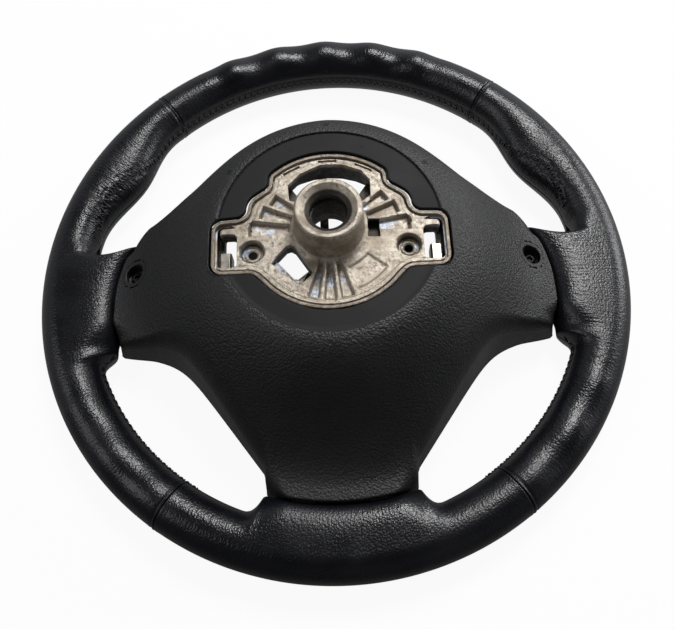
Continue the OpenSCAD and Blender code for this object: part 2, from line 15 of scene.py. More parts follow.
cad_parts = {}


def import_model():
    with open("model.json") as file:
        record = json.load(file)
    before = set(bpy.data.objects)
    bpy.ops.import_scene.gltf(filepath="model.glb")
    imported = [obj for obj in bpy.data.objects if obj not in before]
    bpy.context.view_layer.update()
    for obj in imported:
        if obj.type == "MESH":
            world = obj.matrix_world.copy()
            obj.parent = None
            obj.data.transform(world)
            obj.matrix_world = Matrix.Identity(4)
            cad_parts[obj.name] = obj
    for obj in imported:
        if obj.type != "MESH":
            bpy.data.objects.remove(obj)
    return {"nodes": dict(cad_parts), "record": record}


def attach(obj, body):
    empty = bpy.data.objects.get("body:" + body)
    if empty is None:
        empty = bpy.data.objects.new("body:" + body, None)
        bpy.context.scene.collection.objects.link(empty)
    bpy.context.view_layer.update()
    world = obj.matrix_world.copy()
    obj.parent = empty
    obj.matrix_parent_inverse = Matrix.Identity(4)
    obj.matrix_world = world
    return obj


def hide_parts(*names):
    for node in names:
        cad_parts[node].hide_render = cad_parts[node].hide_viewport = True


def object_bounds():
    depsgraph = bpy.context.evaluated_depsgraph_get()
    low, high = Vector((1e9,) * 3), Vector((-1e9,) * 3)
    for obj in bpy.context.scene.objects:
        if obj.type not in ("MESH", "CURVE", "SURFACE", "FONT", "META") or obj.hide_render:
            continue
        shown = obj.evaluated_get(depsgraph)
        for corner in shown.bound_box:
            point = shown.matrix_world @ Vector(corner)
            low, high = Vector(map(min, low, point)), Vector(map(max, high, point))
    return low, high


MM = 0.001

# Rim, mostly as in the part's source
RIM_R = 187.5
GRIP_W = 30.0
GRIP_H = 34.0
RIM_C = RIM_R - GRIP_W / 2
RIM_Z = -86.0
GRIP_N = 2.05
TONGUE_N = 4.0
LEATHER_T = 1.2
THUMB_H = 10.0
THUMB_Q = 31.0
THUMB_SPAN = 17.0
WAVE_H = 3.0
WAVE_PITCH = 11.1
WAVE_SPAN = 30.0
WAVE_PHI = 110.0
LOW_WAVE_H = 1.6
LOW_WAVE_Q = -40.0
LOW_WAVE_SPAN = 17.0
LOW_WAVE_PITCH = 12.0
LOW_GROW = 1.9
SEAM_TOP = 39.5
SEAM_BOTTOM = 35.3
BUTT = 0.3
SLIT_H = 9.0
FIT_GAP = 0.2

# Spokes and seams
SEAM_X = 137.0
FOOT_SEAM = 143.5
SPOKE_UP = 23.0
SPOKE_LOW = 42.0
FOOT_HALF = 44.0
CROWN_R = 87.5
UP_SLOPE = 0.286
LOW_SLOPE = 0.198
FOOT_SLOPE = 0.724
FOOT_Y = 126.0
SEAM_LEAN = 11.0
LEAN_Y = 16.0
UP_A = SPOKE_UP + UP_SLOPE * SEAM_X
LOW_A = SPOKE_LOW + LOW_SLOPE * SEAM_X
FOOT_A = FOOT_HALF + FOOT_SLOPE * FOOT_Y
SEAM_TOP_X = SEAM_X - SEAM_LEAN
SEAM_TOP_Y = UP_A - UP_SLOPE * SEAM_TOP_X
SEAT_HI = np.degrees(np.arctan2(SEAM_TOP_Y, SEAM_TOP_X))
SEAT_LO = -np.degrees(np.arctan2(SPOKE_LOW, SEAM_X))
FOOT_Q = -90 + np.degrees(np.arcsin(FOOT_HALF / FOOT_SEAM))
SEAT_FADE = 6.0
# Where the leather's ends begin and are full, and how far the upper ones lean along the seam
LOW_TIP = (SEAT_LO - 7, SEAT_LO - 1.6)
FOOT_TIP = (FOOT_Q + 6.2, FOOT_Q + 0.3)
HIGH_TIP = (SEAT_HI - 4.4, SEAT_HI - 7.6)
TIP_LEAN = 8.0
TIP_MIDDLE = SEAT_HI - 6
TIP_SPAN = 13.5
# Flares of the cover's edge at its spokes: height, place and half-width
UP_FLARE = (5.0, 11.2, 9.0)
HIGH_FLARE = (3.0, SEAT_HI, 5.0)
LOW_FLARE = (3.2, -17.8, 5.0)
FOOT_FLARE = (11.0, -73.0, 3.6)
UP_BLEND = 5.5
LOW_BLEND = 14.0
FAR = 1000.0

# Cover
DISC_R = 63.5
DISC_Z = RIM_Z + 69.7
SEAM_Z = RIM_Z + 15
EDGE_Z = RIM_Z - 8
FLANGE_Z = RIM_Z + 9
COVER_T = 2.6
COVER_ROUND = 12.0
DRAFT = 0.105
DISC_STEP = 0.4
GROOVE_D = 1.2
CUT_GAP = 1.2
RECESS_X = 124.0
RECESS_Y = 1.0
RECESS_R = 6.0
SEAT_Z = RIM_Z + 8.7
GUIDE = ((-6.0, 13.0, -47.0), (-1.0, 81.8, -44.4))
COVER_STEPS = 380
DISC_LOOP_STEPS = 900

# Front trim
TRIM_Z = RIM_Z - 13
TRIM_T = 2.4
POCKET_R = 84.0
POCKET_WALL = 18.0
TRIM_END = 30.0
TRIM_SEAM_Z = RIM_Z - 9
FRONT_R = 0.6
PART_GAP = 0.3
PACK_X = 103.0
PACK_Y = -9.0
PACK_W = 28.6
PACK_H = 52.6
PACK_R = 5.3

# Web's outline
WEB_R = 49.2
EAR_X = 66.8
EAR_R = 6.5
EAR_TOP = 7.5
EAR_LOW = 26.0

# Cast web
LIP_Z = DISC_Z - 1.5
LIP_W = 5.1
LAND_Z = LIP_Z - 0.9
WEB_TOP = DISC_Z - 11.2
SKIN_IN = 17.6
SKIN_STEPS = 760
SKIN_ROWS = 54
SCREW_X = 44.1
SCREW_Y = -12.3
SCREW_R = 2.5
WINDOW_X = 57.9
WINDOW_Y = -11.7
WINDOW_HALF_W = 5.4
WINDOW_HALF_H = 11.1
WINDOW_R = 3.3
LOZENGE = [[-33.0, -20.4], [-30.6, -16.2], [-24.8, -10.0], [-22.4, -9.3], [-20.0, -10.8], [-10.8, -25.6],
           [-10.6, -28.0], [-16.6, -33.4], [-19.4, -33.4]]
ARCH = [[24.2, 17.4], [24.5, 31.0], [19.3, 37.8], [8.0, 42.3], [-4.0, 42.6], [-16.0, 37.0], [-23.3, 29.6],
        [-22.7, 19.6]]
ARCH_IN = 22.6
SQUARE_POCKET = [[21.4, -6.6], [28.3, -6.6], [28.3, 6.3], [21.4, 6.3]]

# Light: what falls softly from all round, and what glossy surfaces show on each side
SOFT_LIGHT = 0.28
CEILING = 0.07
LEFT_SHARE = 0.3
RIGHT_SHARE = 0.95
FRONT_SHARE = 0.12
FLOOR_SHARE = 0.5

# Stitches round the inside of the rim
STITCH_PITCH = 4.6
STITCH_HALF = 2.7
THREAD_R = 0.42
STITCHED = [(14, 166), (198.5, 238), (-58, -18.5)]

# Distances of the stations near a leather panel's ends, from the end
PANEL_STEPS = [0, 0.1, 0.2, 0.35, 0.55, 0.8, 1.05, 1.3, 1.5, 1.75, 2.0, 2.3, 2.8, 3.4, 4.2, 5.2]

# Camera: lens and, in metres, its axes and its place
LENS = 40.39
VIEW_X = (0.99876, -0.03983, -0.02975)
VIEW_Y = (0.04814, 0.92428, 0.37866)
VIEW_Z = (0.01242, -0.37963, 0.92506)
VIEW_PLACE = (0.007137, -0.207301, 0.358027)


def rise(t):
    """Smooth step from 0 at 0 to 1 at 1."""
    t = np.clip(t, 0, 1)
    return t * t * (3 - 2 * t)


def mix(a, b, t):
    return a + (b - a) * t


def bell(t):
    """Smooth hump: 1 at 0, 0 from -1 and 1 outwards."""
    return np.where(np.abs(t) >= 1, 0.0, 0.5 + 0.5 * np.cos(np.pi * np.clip(t, -1, 1)))


def sin(a):
    return np.sin(np.radians(a))


def cos(a):
    return np.cos(np.radians(a))


def fold(a):
    """Angle above the horizontal, the same on the left and right side."""
    return np.degrees(np.arcsin(np.clip(sin(a), -1, 1)))


def seat(q):
    """How firmly a station sits on a spoke: 1 in its middle, 0 off it."""
    side = rise((SEAT_HI - q) / SEAT_FADE) * rise((q - SEAT_LO) / SEAT_FADE)
    return np.maximum(side, rise((FOOT_Q - q) / SEAT_FADE))


def toward(q, ends):
    """0 at the first of two angles, 1 at the second."""
    return np.clip((q - ends[0]) / (ends[1] - ends[0]), 0, 1)


def tongue(q):
    """How far the leather reaches in over a spoke: 1 to the seam, 0 not at all."""
    return np.maximum(rise(toward(q, HIGH_TIP)) * toward(q, LOW_TIP) ** 5, toward(q, FOOT_TIP) ** 5)


def tilt(q):
    """How far the leather's end leans up along the seam at an upper corner."""
    return TIP_LEAN * bell((q - TIP_MIDDLE) / TIP_SPAN)


def firm(q):
    """How sharp the cover's upper edge is: 1 on a spoke, 0 on the crown."""
    return np.where(q > 0, np.maximum(seat(q), 0.7 * bell((q - SEAT_HI) / 16)), seat(q))


def seam_r(q):
    """Radius of the seam between cover and leather."""
    qc = np.clip(q, -45, SEAT_HI + 4)
    lean = SEAM_LEAN * np.maximum(0, (SEAM_X * np.tan(np.radians(qc)) + LEAN_Y) / (SEAM_TOP_Y + LEAN_Y)) ** 2
    side = (SEAM_X - lean) / cos(qc)
    return np.where(q < -60, FOOT_SEAM, np.where((q < -32) | (q > SEAT_HI + 4), FAR, side))


def blended(a, b, k):
    """The larger of two radii, with a round change between them."""
    return (a ** k + b ** k) ** (1 / k)


def flare(q, shape):
    height, place, half_width = shape
    return height * bell((q - place) / half_width)


def edge_r(q):
    """Radius of the cover's edge."""
    side = np.minimum(UP_A / np.maximum(0.05, sin(q) + UP_SLOPE * cos(q)),
                      LOW_A / np.maximum(0.05, LOW_SLOPE * cos(q) - sin(q)))
    foot = FOOT_A / (cos(q) - FOOT_SLOPE * sin(q))
    up = blended(side, CROWN_R, UP_BLEND) + flare(q, UP_FLARE) + flare(q, HIGH_FLARE)
    low = blended(side / 100, foot / 100, LOW_BLEND) * 100 + flare(q, LOW_FLARE) + flare(q, FOOT_FLARE)
    return np.minimum(np.where(q > 0, up, low), seam_r(q))


def top_z(r):
    """Height of the cover's outside before its edges are rounded."""
    return mix(DISC_Z, SEAM_Z, rise((r - DISC_R) / (SEAM_X - DISC_R)))


def turn(q, r):
    """Degrees by which a station's point at radius r leans along the seam."""
    return tilt(q) * (np.maximum(0, RIM_C - r) / (RIM_C - seam_r(SEAT_HI))) ** 3


def grip_in(q):
    """Radius of the grip's inner side: free, or at the seam where the leather ends on a spoke."""
    free = RIM_R - GRIP_W - THUMB_H * bell((q - THUMB_Q) / THUMB_SPAN) - LOW_GROW * rise((SEAT_LO + 5 - q) / 6)
    seam = seam_r(q + turn(q, seam_r(q + 0.9 * tilt(q))))
    return mix(free, np.minimum(seam, RIM_R - GRIP_W) + FIT_GAP, tongue(q))


def section_n(q, phi):
    """Exponent of the section's outline: 2 is an ellipse, more is squarer."""
    firmness = np.maximum(seat(q), np.where(q > 0, 0.7 * tongue(q), 0))
    return np.where(cos(phi) > 1e-9, mix(GRIP_N, TONGUE_N, firmness), GRIP_N)


def power(v, e):
    """Power that keeps the sign."""
    return np.sign(v) * np.abs(v) ** e


def waves(a, phi):
    """Finger waves on the back of the top arc and low on each side."""
    q = fold(a)
    top = WAVE_H / 2 * cos(360 * (a - 90) / WAVE_PITCH) * rise((WAVE_SPAN - np.abs(a - 90)) / 8)
    low = LOW_WAVE_H / 2 * cos(360 * (q - LOW_WAVE_Q) / LOW_WAVE_PITCH) \
        * rise((LOW_WAVE_SPAN - np.abs(q - LOW_WAVE_Q)) / 6)
    return (top + low) * np.maximum(0, cos(phi - WAVE_PHI))


def grip(a, phi, inset=0.0):
    """Points on the grip, at angle a round the rim and phi round the section."""
    q = fold(a)
    n = section_n(q, phi)
    w = np.where(cos(phi) > 1e-9, RIM_C - grip_in(q), GRIP_W / 2)
    r = RIM_C - power(cos(phi), 2 / n) * (w - inset)
    z = RIM_Z + power(sin(phi), 2 / n) * (GRIP_H / 2 - inset + waves(a, phi))
    b = a + np.sign(cos(a)) * turn(q, r)
    return np.stack([r * cos(b), r * sin(b), z], -1)


def slit_phi(q):
    """Angle round the section where the leather's edge begins."""
    n = section_n(q, 0 * q)
    return np.degrees(np.arcsin((mix(BUTT, SLIT_H, seat(q)) / (GRIP_H / 2)) ** (n / 2)))


def noise(x, y, seed):
    """Smooth value noise from 0 to 1 on the plane."""
    table = np.random.default_rng(seed).random((256, 256))
    xi = np.floor(x).astype(int)
    yi = np.floor(y).astype(int)
    fx = rise(x - xi)
    fy = rise(y - yi)
    def at(i, j):
        return table[(xi + i) & 255, (yi + j) & 255]
    return mix(mix(at(0, 0), at(1, 0), fx), mix(at(0, 1), at(1, 1), fx), fy)


def ridged(x, y, seed):
    """Noise with sharp ridges, from 0 to 1."""
    return 1 - np.abs(2 * noise(x, y, seed) - 1)


def new_object(name, points, faces, body="wheel", smooth=True):
    """A mesh from points in millimetres, riding on a body of the frame."""
    mesh = bpy.data.meshes.new(name)
    mesh.from_pydata((np.asarray(points, float) * MM).tolist(), [], faces)
    mesh.validate()
    mesh.polygons.foreach_set("use_smooth", [smooth] * len(mesh.polygons))
    obj = bpy.data.objects.new(name, mesh)
    bpy.context.scene.collection.objects.link(obj)
    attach(obj, body)
    return obj


def grid_faces(n, m, start=0, round_u=False, round_v=False, flip=False):
    """Quads of a grid of n rows of m points."""
    faces = []
    for i in range(n if round_u else n - 1):
        p = start + i * m
        s = start + ((i + 1) % n) * m
        for j in range(m if round_v else m - 1):
            k = (j + 1) % m
            faces.append((p + j, s + j, s + k, p + k) if flip else (p + j, p + k, s + k, s + j))
    return faces


def grid_normals(pts):
    du = np.gradient(pts, axis=0)
    dv = np.gradient(pts, axis=1)
    n = np.cross(dv, du)
    return n / np.maximum(np.linalg.norm(n, axis=-1, keepdims=True), 1e-9)


class Parts:
    """Several grids gathered into one mesh."""

    def __init__(self):
        self.points = []
        self.faces = []
        self.count = 0

    def add(self, pts, round_u=False, round_v=False, flip=False):
        n, m = pts.shape[:2]
        self.faces += grid_faces(n, m, self.count, round_u, round_v, flip)
        self.points.append(pts.reshape(-1, 3))
        self.count += n * m

    def build(self, name, body="wheel"):
        return new_object(name, np.concatenate(self.points), self.faces, body)


# Materials


class Nodes:
    """Short names for making a material's nodes."""

    def __init__(self, name):
        self.mat = bpy.data.materials.new(name)
        self.mat.use_nodes = True
        self.tree = self.mat.node_tree
        self.tree.nodes.clear()
        self.out = self.tree.nodes.new("ShaderNodeOutputMaterial")
        self.bsdf = self.tree.nodes.new("ShaderNodeBsdfPrincipled")
        self.tree.links.new(self.bsdf.outputs[0], self.out.inputs["Surface"])
        self.coord = self.tree.nodes.new("ShaderNodeTexCoord")

    def put(self, socket, value):
        if hasattr(value, "is_output"):
            self.tree.links.new(value, socket)
        else:
            socket.default_value = value

    def set(self, **values):
        for key, value in values.items():
            self.put(self.bsdf.inputs[key.replace("_", " ")], value)

    def scaled(self, source, scale, rotation=(0, 0, 0)):
        n = self.tree.nodes.new("ShaderNodeMapping")
        self.put(n.inputs["Vector"], source)
        n.inputs["Scale"].default_value = scale if hasattr(scale, "__len__") else (scale,) * 3
        n.inputs["Rotation"].default_value = rotation
        return n.outputs[0]

    def noise(self, vector, scale, detail=3.0, rough=0.5, warp=0.0):
        n = self.tree.nodes.new("ShaderNodeTexNoise")
        self.put(n.inputs["Vector"], vector)
        n.inputs["Scale"].default_value = scale
        n.inputs["Detail"].default_value = detail
        n.inputs["Roughness"].default_value = rough
        n.inputs["Distortion"].default_value = warp
        return n.outputs["Fac"]

    def cells(self, vector, scale, feature="F1", random=1.0):
        n = self.tree.nodes.new("ShaderNodeTexVoronoi")
        n.feature = feature
        self.put(n.inputs["Vector"], vector)
        n.inputs["Scale"].default_value = scale
        n.inputs["Randomness"].default_value = random
        return n.outputs["Distance"]

    def range(self, value, a, b, c=0.0, d=1.0):
        n = self.tree.nodes.new("ShaderNodeMapRange")
        self.put(n.inputs["Value"], value)
        for key, v in zip(("From Min", "From Max", "To Min", "To Max"), (a, b, c, d)):
            n.inputs[key].default_value = v
        return n.outputs["Result"]

    def math(self, op, a, b=0.0):
        n = self.tree.nodes.new("ShaderNodeMath")
        n.operation = op
        self.put(n.inputs[0], a)
        self.put(n.inputs[1], b)
        return n.outputs[0]

    def blend(self, fac, a, b, kind="MIX"):
        n = self.tree.nodes.new("ShaderNodeMix")
        n.data_type = "RGBA"
        n.blend_type = kind
        self.put(n.inputs["Factor"], fac)
        self.put(n.inputs["A"], a if hasattr(a, "is_output") else (*a, 1))
        self.put(n.inputs["B"], b if hasattr(b, "is_output") else (*b, 1))
        return n.outputs["Result"]

    def bump(self, height, distance, strength=1.0, under=None):
        n = self.tree.nodes.new("ShaderNodeBump")
        n.inputs["Strength"].default_value = strength
        n.inputs["Distance"].default_value = distance
        self.put(n.inputs["Height"], height)
        if under is not None:
            self.put(n.inputs["Normal"], under)
        return n.outputs[0]

    def attribute(self, name):
        n = self.tree.nodes.new("ShaderNodeAttribute")
        n.attribute_name = name
        return n.outputs["Fac"]

    def bevel(self, radius):
        n = self.tree.nodes.new("ShaderNodeBevel")
        n.samples = 6
        n.inputs["Radius"].default_value = radius
        return n.outputs[0]

    def xyz(self, source):
        n = self.tree.nodes.new("ShaderNodeSeparateXYZ")
        self.put(n.inputs[0], source)
        return n.outputs


def leather_material():
    """Black pebbled leather. UV runs in metres along the rim and round the grip."""
    m = Nodes("leather")
    uv = m.coord.outputs["UV"]
    obj = m.coord.outputs["Object"]
    patch = m.noise(obj, 38, 2)
    worn = m.attribute("wrinkle")
    cells = m.cells(obj, 760, "F1")
    creases = m.noise(m.scaled(uv, (880, 200, 1)), 1.0, 1, 0.5, 0.4)
    fine = m.noise(obj, 1500, 2)
    grain = m.math("ADD", m.math("MULTIPLY", cells, -0.8), m.math("MULTIPLY", fine, 0.15))
    both = m.math("ADD", grain, m.math("MULTIPLY", creases, m.range(worn, 0, 1, 0.9, 2.4)))
    m.set(Base_Color=m.blend(m.range(patch, 0.35, 0.7), (0.0032, 0.0034, 0.0055), (0.0058, 0.006, 0.0085)),
          Roughness=m.math("ADD", m.range(patch, 0.3, 0.7, 0.21, 0.32), m.math("MULTIPLY", fine, 0.1)),
          Normal=m.bump(both, 0.0002, 0.8))
    m.bsdf.inputs["Specular IOR Level"].default_value = 0.5
    return m.mat


def cover_material():
    """Soft-touch moulding with a fine leather grain."""
    m = Nodes("cover")
    obj = m.coord.outputs["Object"]
    patch = m.noise(obj, 22, 3)
    cells = m.cells(obj, 760, "F1")
    lines = m.noise(obj, 620, 2, 0.6, 0.6)
    grain = m.math("ADD", m.math("MULTIPLY", cells, -1.2), m.math("MULTIPLY", lines, 0.9))
    m.set(Base_Color=m.blend(m.range(patch, 0.3, 0.7), (0.0065, 0.0065, 0.0072), (0.0095, 0.0095, 0.0102)),
          Roughness=m.range(patch, 0.3, 0.7, 0.47, 0.58),
          Normal=m.bump(grain, 0.0003, 0.9))
    m.bsdf.inputs["Specular IOR Level"].default_value = 0.5
    return m.mat


def disc_material():
    """Smooth, dull face of the disc round the hub."""
    m = Nodes("disc")
    obj = m.coord.outputs["Object"]
    patch = m.noise(obj, 30, 4, 0.6)
    scratch = m.noise(m.scaled(obj, (40, 900, 1), (0, 0, 0.4)), 1, 1)
    m.set(Base_Color=m.blend(m.range(patch, 0.3, 0.7), (0.009, 0.009, 0.0098), (0.0125, 0.0125, 0.0135)),
          Roughness=m.math("ADD", m.range(patch, 0.3, 0.7, 0.5, 0.6), m.math("MULTIPLY", scratch, 0.05)),
          Normal=m.bump(m.noise(obj, 2200, 2), 0.00004, 0.5))
    m.bsdf.inputs["Specular IOR Level"].default_value = 0.18
    return m.mat


def plastic_material(name, dark, pale, low, high, grain):
    """Moulded plastic with fine spark texture."""
    m = Nodes(name)
    obj = m.coord.outputs["Object"]
    patch = m.noise(obj, 60, 3)
    m.set(Base_Color=m.blend(m.range(patch, 0.3, 0.7), dark, pale),
          Roughness=m.range(patch, 0.3, 0.7, low, high),
          Normal=m.bump(m.noise(obj, grain, 2), 0.00005, 0.6, m.bevel(0.0005)))
    return m.mat


def cast_material():
    """Raw die-casting: warm tarnish, pale blue-white patches in the pockets, brown dirt, a darker brown top on
    the outer lip, and painted shade, near black, on steep walls deep in the pockets, inside the bore and under
    the web.
    """
    m = Nodes("cast")
    obj = m.coord.outputs["Object"]
    big = m.noise(obj, 75, 4, 0.6, 0.3)
    small = m.noise(obj, 420, 4, 0.65)
    speck = m.noise(obj, 1900, 3, 0.7)
    z = m.xyz(obj)[2]
    deep = m.range(z, -0.0198, -0.0215)
    pale = m.math("MULTIPLY", m.range(m.noise(obj, 110, 3, 0.55, 0.4), 0.5, 0.58), deep)
    dirt = m.range(m.math("ADD", m.math("MULTIPLY", small, 0.6), m.math("MULTIPLY", big, 0.4)), 0.52, 0.66)
    base = m.blend(m.range(big, 0.35, 0.65), (0.28, 0.235, 0.182), (0.57, 0.51, 0.43))
    base = m.blend(m.math("MULTIPLY", pale, 0.85), base, (0.56, 0.62, 0.72))
    base = m.blend(m.math("MULTIPLY", dirt, 0.8), base, (0.085, 0.062, 0.042))
    base = m.blend(m.range(speck, 0.54, 0.72, 0, 0.7), base, (0.07, 0.055, 0.04))
    # Painted shade: steep walls deep in the pockets, the inside of the bore and the web's underside go near black
    facing = m.tree.nodes.new("ShaderNodeNewGeometry")
    steep = m.range(m.math("ABSOLUTE", m.xyz(facing.outputs["True Normal"])[2]), 0.55, 0.3)
    wall = m.math("MULTIPLY", steep, m.range(z, -0.0198, -0.0225))
    x, y = m.xyz(obj)[:2]
    radius = m.math("SQRT", m.math("ADD", m.math("MULTIPLY", x, x), m.math("MULTIPLY", y, y)))
    bore_shade = m.range(radius, 0.0134, 0.0126)
    lip = m.math("MULTIPLY", m.range(z, -0.0184, -0.0179), m.range(radius, 0.026, 0.030))
    base = m.blend(m.math("MULTIPLY", lip, 0.55), base, (0.075, 0.058, 0.042))
    below = m.math("MULTIPLY", m.range(z, -0.0245, -0.0260), m.range(radius, 0.018, 0.020))
    # All the painted shade together, blended to near black
    dark = m.math("MAXIMUM", m.math("MAXIMUM", wall, bore_shade), below)
    base = m.blend(m.math("MULTIPLY", dark, 0.93), base, (0.02, 0.017, 0.014))
    height = m.math("ADD", m.math("MULTIPLY", small, 0.7), m.math("MULTIPLY", speck, 0.3))
    m.set(Base_Color=base,
          Roughness=m.range(small, 0.3, 0.7, 0.36, 0.6),
          Normal=m.bump(height, 0.0006, 0.8, m.bevel(0.0007)))
    m.bsdf.inputs["Metallic"].default_value = 0.7
    return m.mat


def steel_material(name, dark, pale, low, high):
    """Plated steel with fine rolling lines and dull spots."""
    m = Nodes(name)
    obj = m.coord.outputs["Object"]
    spots = m.noise(obj, 260, 4, 0.6)
    lines = m.noise(m.scaled(obj, (200, 4000, 200)), 1, 2)
    m.set(Base_Color=m.blend(m.range(spots, 0.35, 0.7), dark, pale),
          Roughness=m.range(spots, 0.3, 0.7, low, high),
          Normal=m.bump(lines, 0.00003, 0.5, m.bevel(0.0003)))
    m.bsdf.inputs["Metallic"].default_value = 1.0
    return m.mat


def thread_material():
    """Black waxed thread, twisted along its length."""
    m = Nodes("thread")
    obj = m.coord.outputs["Object"]
    m.set(Base_Color=m.blend(m.noise(obj, 900, 2), (0.012, 0.012, 0.013), (0.03, 0.03, 0.031)),
          Roughness=m.range(m.noise(obj, 300, 2), 0.3, 0.7, 0.42, 0.6),
          Normal=m.bump(m.noise(obj, 2600, 2), 0.00008, 0.8))
    return m.mat


def foam_material():
    """Moulded foam with an open, dull skin."""
    m = Nodes("foam")
    obj = m.coord.outputs["Object"]
    m.set(Base_Color=m.blend(m.noise(obj, 240, 3), (0.05, 0.05, 0.05), (0.09, 0.09, 0.088)),
          Roughness=m.range(m.noise(obj, 120, 2), 0.3, 0.7, 0.8, 0.95),
          Normal=m.bump(m.cells(obj, 1500, "F1"), 0.0002, 0.8))
    return m.mat


# Leather


def stitch_phi(q):
    """Where the stitches run round the section: inside the rim, and up over the thumb rests."""
    return 5 + 50 * bell((q - 25.5) / 18)


def off_spoke(q):
    """1 where the leather is stitched to itself, 0 where it ends on a spoke."""
    side = rise((SEAT_HI + 5 - q) / 3) * rise((q - SEAT_LO + 4.5) / 3)
    return 1 - np.maximum(side, rise((FOOT_Q + 5 - q) / 3))


def end_profile(s, lip):
    """Height of the leather near a panel's end, s millimetres from it."""
    if lip:
        keys = [0, 0.25, 0.8, 1.3, 1.75, 2.3, 3.2, 5.5]
        high = [-1.0, 0.18, 0.34, 0.05, -0.42, -0.12, 0.12, 0]
    else:
        keys = [0, 0.3, 0.9, 1.8, 3.5, 5.5]
        high = [-1.0, -0.15, 0.16, 0.12, 0.02, 0]
    return np.interp(s, keys, high)


def panel_stations(a0, a1):
    """Angles of a panel's stations, crowded at its ends."""
    ends = np.degrees(np.array(PANEL_STEPS) / RIM_C)
    count = int((a1 - a0) / (0.4))
    middle = np.linspace(a0 + ends[-1], a1 - ends[-1], count)
    return np.concatenate([a0 + ends[:-1], middle, (a1 - ends[:-1])[::-1]])


def even_phi(a, counts):
    """Angles round the section at even steps of length, for each station."""
    q = fold(a)
    p = slit_phi(q)
    t = 0.5 - 0.5 * np.cos(np.pi * np.linspace(0, 1, 121))
    rows = []
    knots = [p, np.full_like(p, 90.0), np.full_like(p, 180.0), np.full_like(p, 270.0), 360 - p]
    for k in range(4):
        phi = knots[k][:, None] + (knots[k + 1] - knots[k])[:, None] * t
        pts = grip(a[:, None] + 0 * phi, phi)
        run = np.zeros(phi.shape)
        run[:, 1:] = np.cumsum(np.linalg.norm(np.diff(pts, axis=1), axis=2), 1)
        goal = np.linspace(0, 1, counts[k] + 1)
        row = np.array([np.interp(goal * r[-1], r, f) for r, f in zip(run, phi)])
        rows.append(row if k == 3 else row[:, :-1])
    return np.concatenate(rows, 1)


def leather_panel(name, node, a0, a1, lips):
    """One leather panel between two seams. lips: whether each end rolls up into a lip."""
    a = panel_stations(a0, a1)
    phi = even_phi(a, (26, 26, 24, 24))
    aa = a[:, None] + 0 * phi
    pts = grip(aa, phi)
    normal = grid_normals(pts)
    q = fold(aa)
    start = np.abs(aa - a0) * RIM_C * np.pi / 180
    end = np.abs(aa - a1) * RIM_C * np.pi / 180
    lift = end_profile(start, lips[0]) + end_profile(end, lips[1])
    # Stitched joint: a slit between two folded edges and two lines of holes
    w = np.where(cos(phi) > 0, RIM_C - grip_in(q), GRIP_W / 2) * 0.5 + GRIP_H / 4
    across = (phi - stitch_phi(q)) * np.pi / 180 * w
    round_end = (phi - 360 - stitch_phi(q)) * np.pi / 180 * w
    d = np.where(np.abs(across) < np.abs(round_end), across, round_end)
    free = off_spoke(q)
    lift -= free * (0.55 * np.exp(-(d / 0.45) ** 2) + 0.45 * np.exp(-((np.abs(d) - STITCH_HALF) / 0.6) ** 2))
    lift += free * 0.22 * np.exp(-((np.abs(d) - 1.4) / 0.7) ** 2)
    # Puckered leather along the stitches over the thumb rests
    u = aa * RIM_C * np.pi / 180
    v = phi * np.pi / 180 * 17
    band = bell((q - 25) / 21) * np.exp(-(d / 7.5) ** 2)
    crumple = ridged(u / 2.6 + 0.5 * noise(u / 4, v / 4, 3), v / 3.4, 5) ** 2 \
        + 0.6 * ridged(u / 1.5, v / 2.0 + u / 6, 7) ** 2
    lift += band * 0.55 * (0.5 - crumple)
    creases = ridged(u / 1.5, v / 6 + 0.4 * noise(u / 5, v / 5, 9), 11)
    side = np.maximum(bell((q - 20) / 34), 0.5 * bell((q + 25) / 30))
    lift -= 0.05 * side * (0.4 + 0.6 * np.maximum(0, cos(phi - 80))) * creases ** 2
    pts = pts + normal * lift[..., None]
    # Edges turned in at the ends and along the slit
    inner = pts[:, [0, -1]] - normal[:, [0, -1]] * LEATHER_T
    pts = np.concatenate([inner[:, :1], pts, inner[:, 1:]], 1)
    first = pts[:1] - np.pad(normal, ((0, 0), (1, 1), (0, 0)), "edge")[:1] * LEATHER_T
    last = pts[-1:] - np.pad(normal, ((0, 0), (1, 1), (0, 0)), "edge")[-1:] * LEATHER_T
    pts = np.concatenate([first, pts, last], 0)
    n, m = pts.shape[:2]
    obj = new_object(name, pts.reshape(-1, 3), grid_faces(n, m))
    wrinkle = np.clip(band + 0.75 * side, 0, 1)
    wrinkle = np.pad(wrinkle, 1, "edge").astype(np.float32).ravel()
    layer = obj.data.attributes.new("wrinkle", "FLOAT", "POINT")
    layer.data.foreach_set("value", wrinkle)
    uv = obj.data.uv_layers.new(name="UVMap")
    grid = np.stack([np.pad(u, 1, "edge") * MM, np.pad(v, 1, "edge") * MM], -1).reshape(-1, 2)
    index = np.zeros(len(obj.data.loops), np.int32)
    obj.data.loops.foreach_get("vertex_index", index)
    uv.data.foreach_set("uv", grid[index].astype(np.float32).ravel())
    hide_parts(node)
    return obj


def foam():
    """Foam under the leather, as one closed tube, so that it follows the leather's ends."""
    a = np.arange(0, 360, 0.6)
    phi = even_phi(a, (12, 12, 10, 10))[:, :-1]
    pts = grip(a[:, None] + 0 * phi, phi, LEATHER_T + 0.6)
    faces = grid_faces(*phi.shape, round_u=True, round_v=True)
    obj = new_object("foam_core", pts.reshape(-1, 3), faces)
    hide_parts("rim_foam")
    return obj


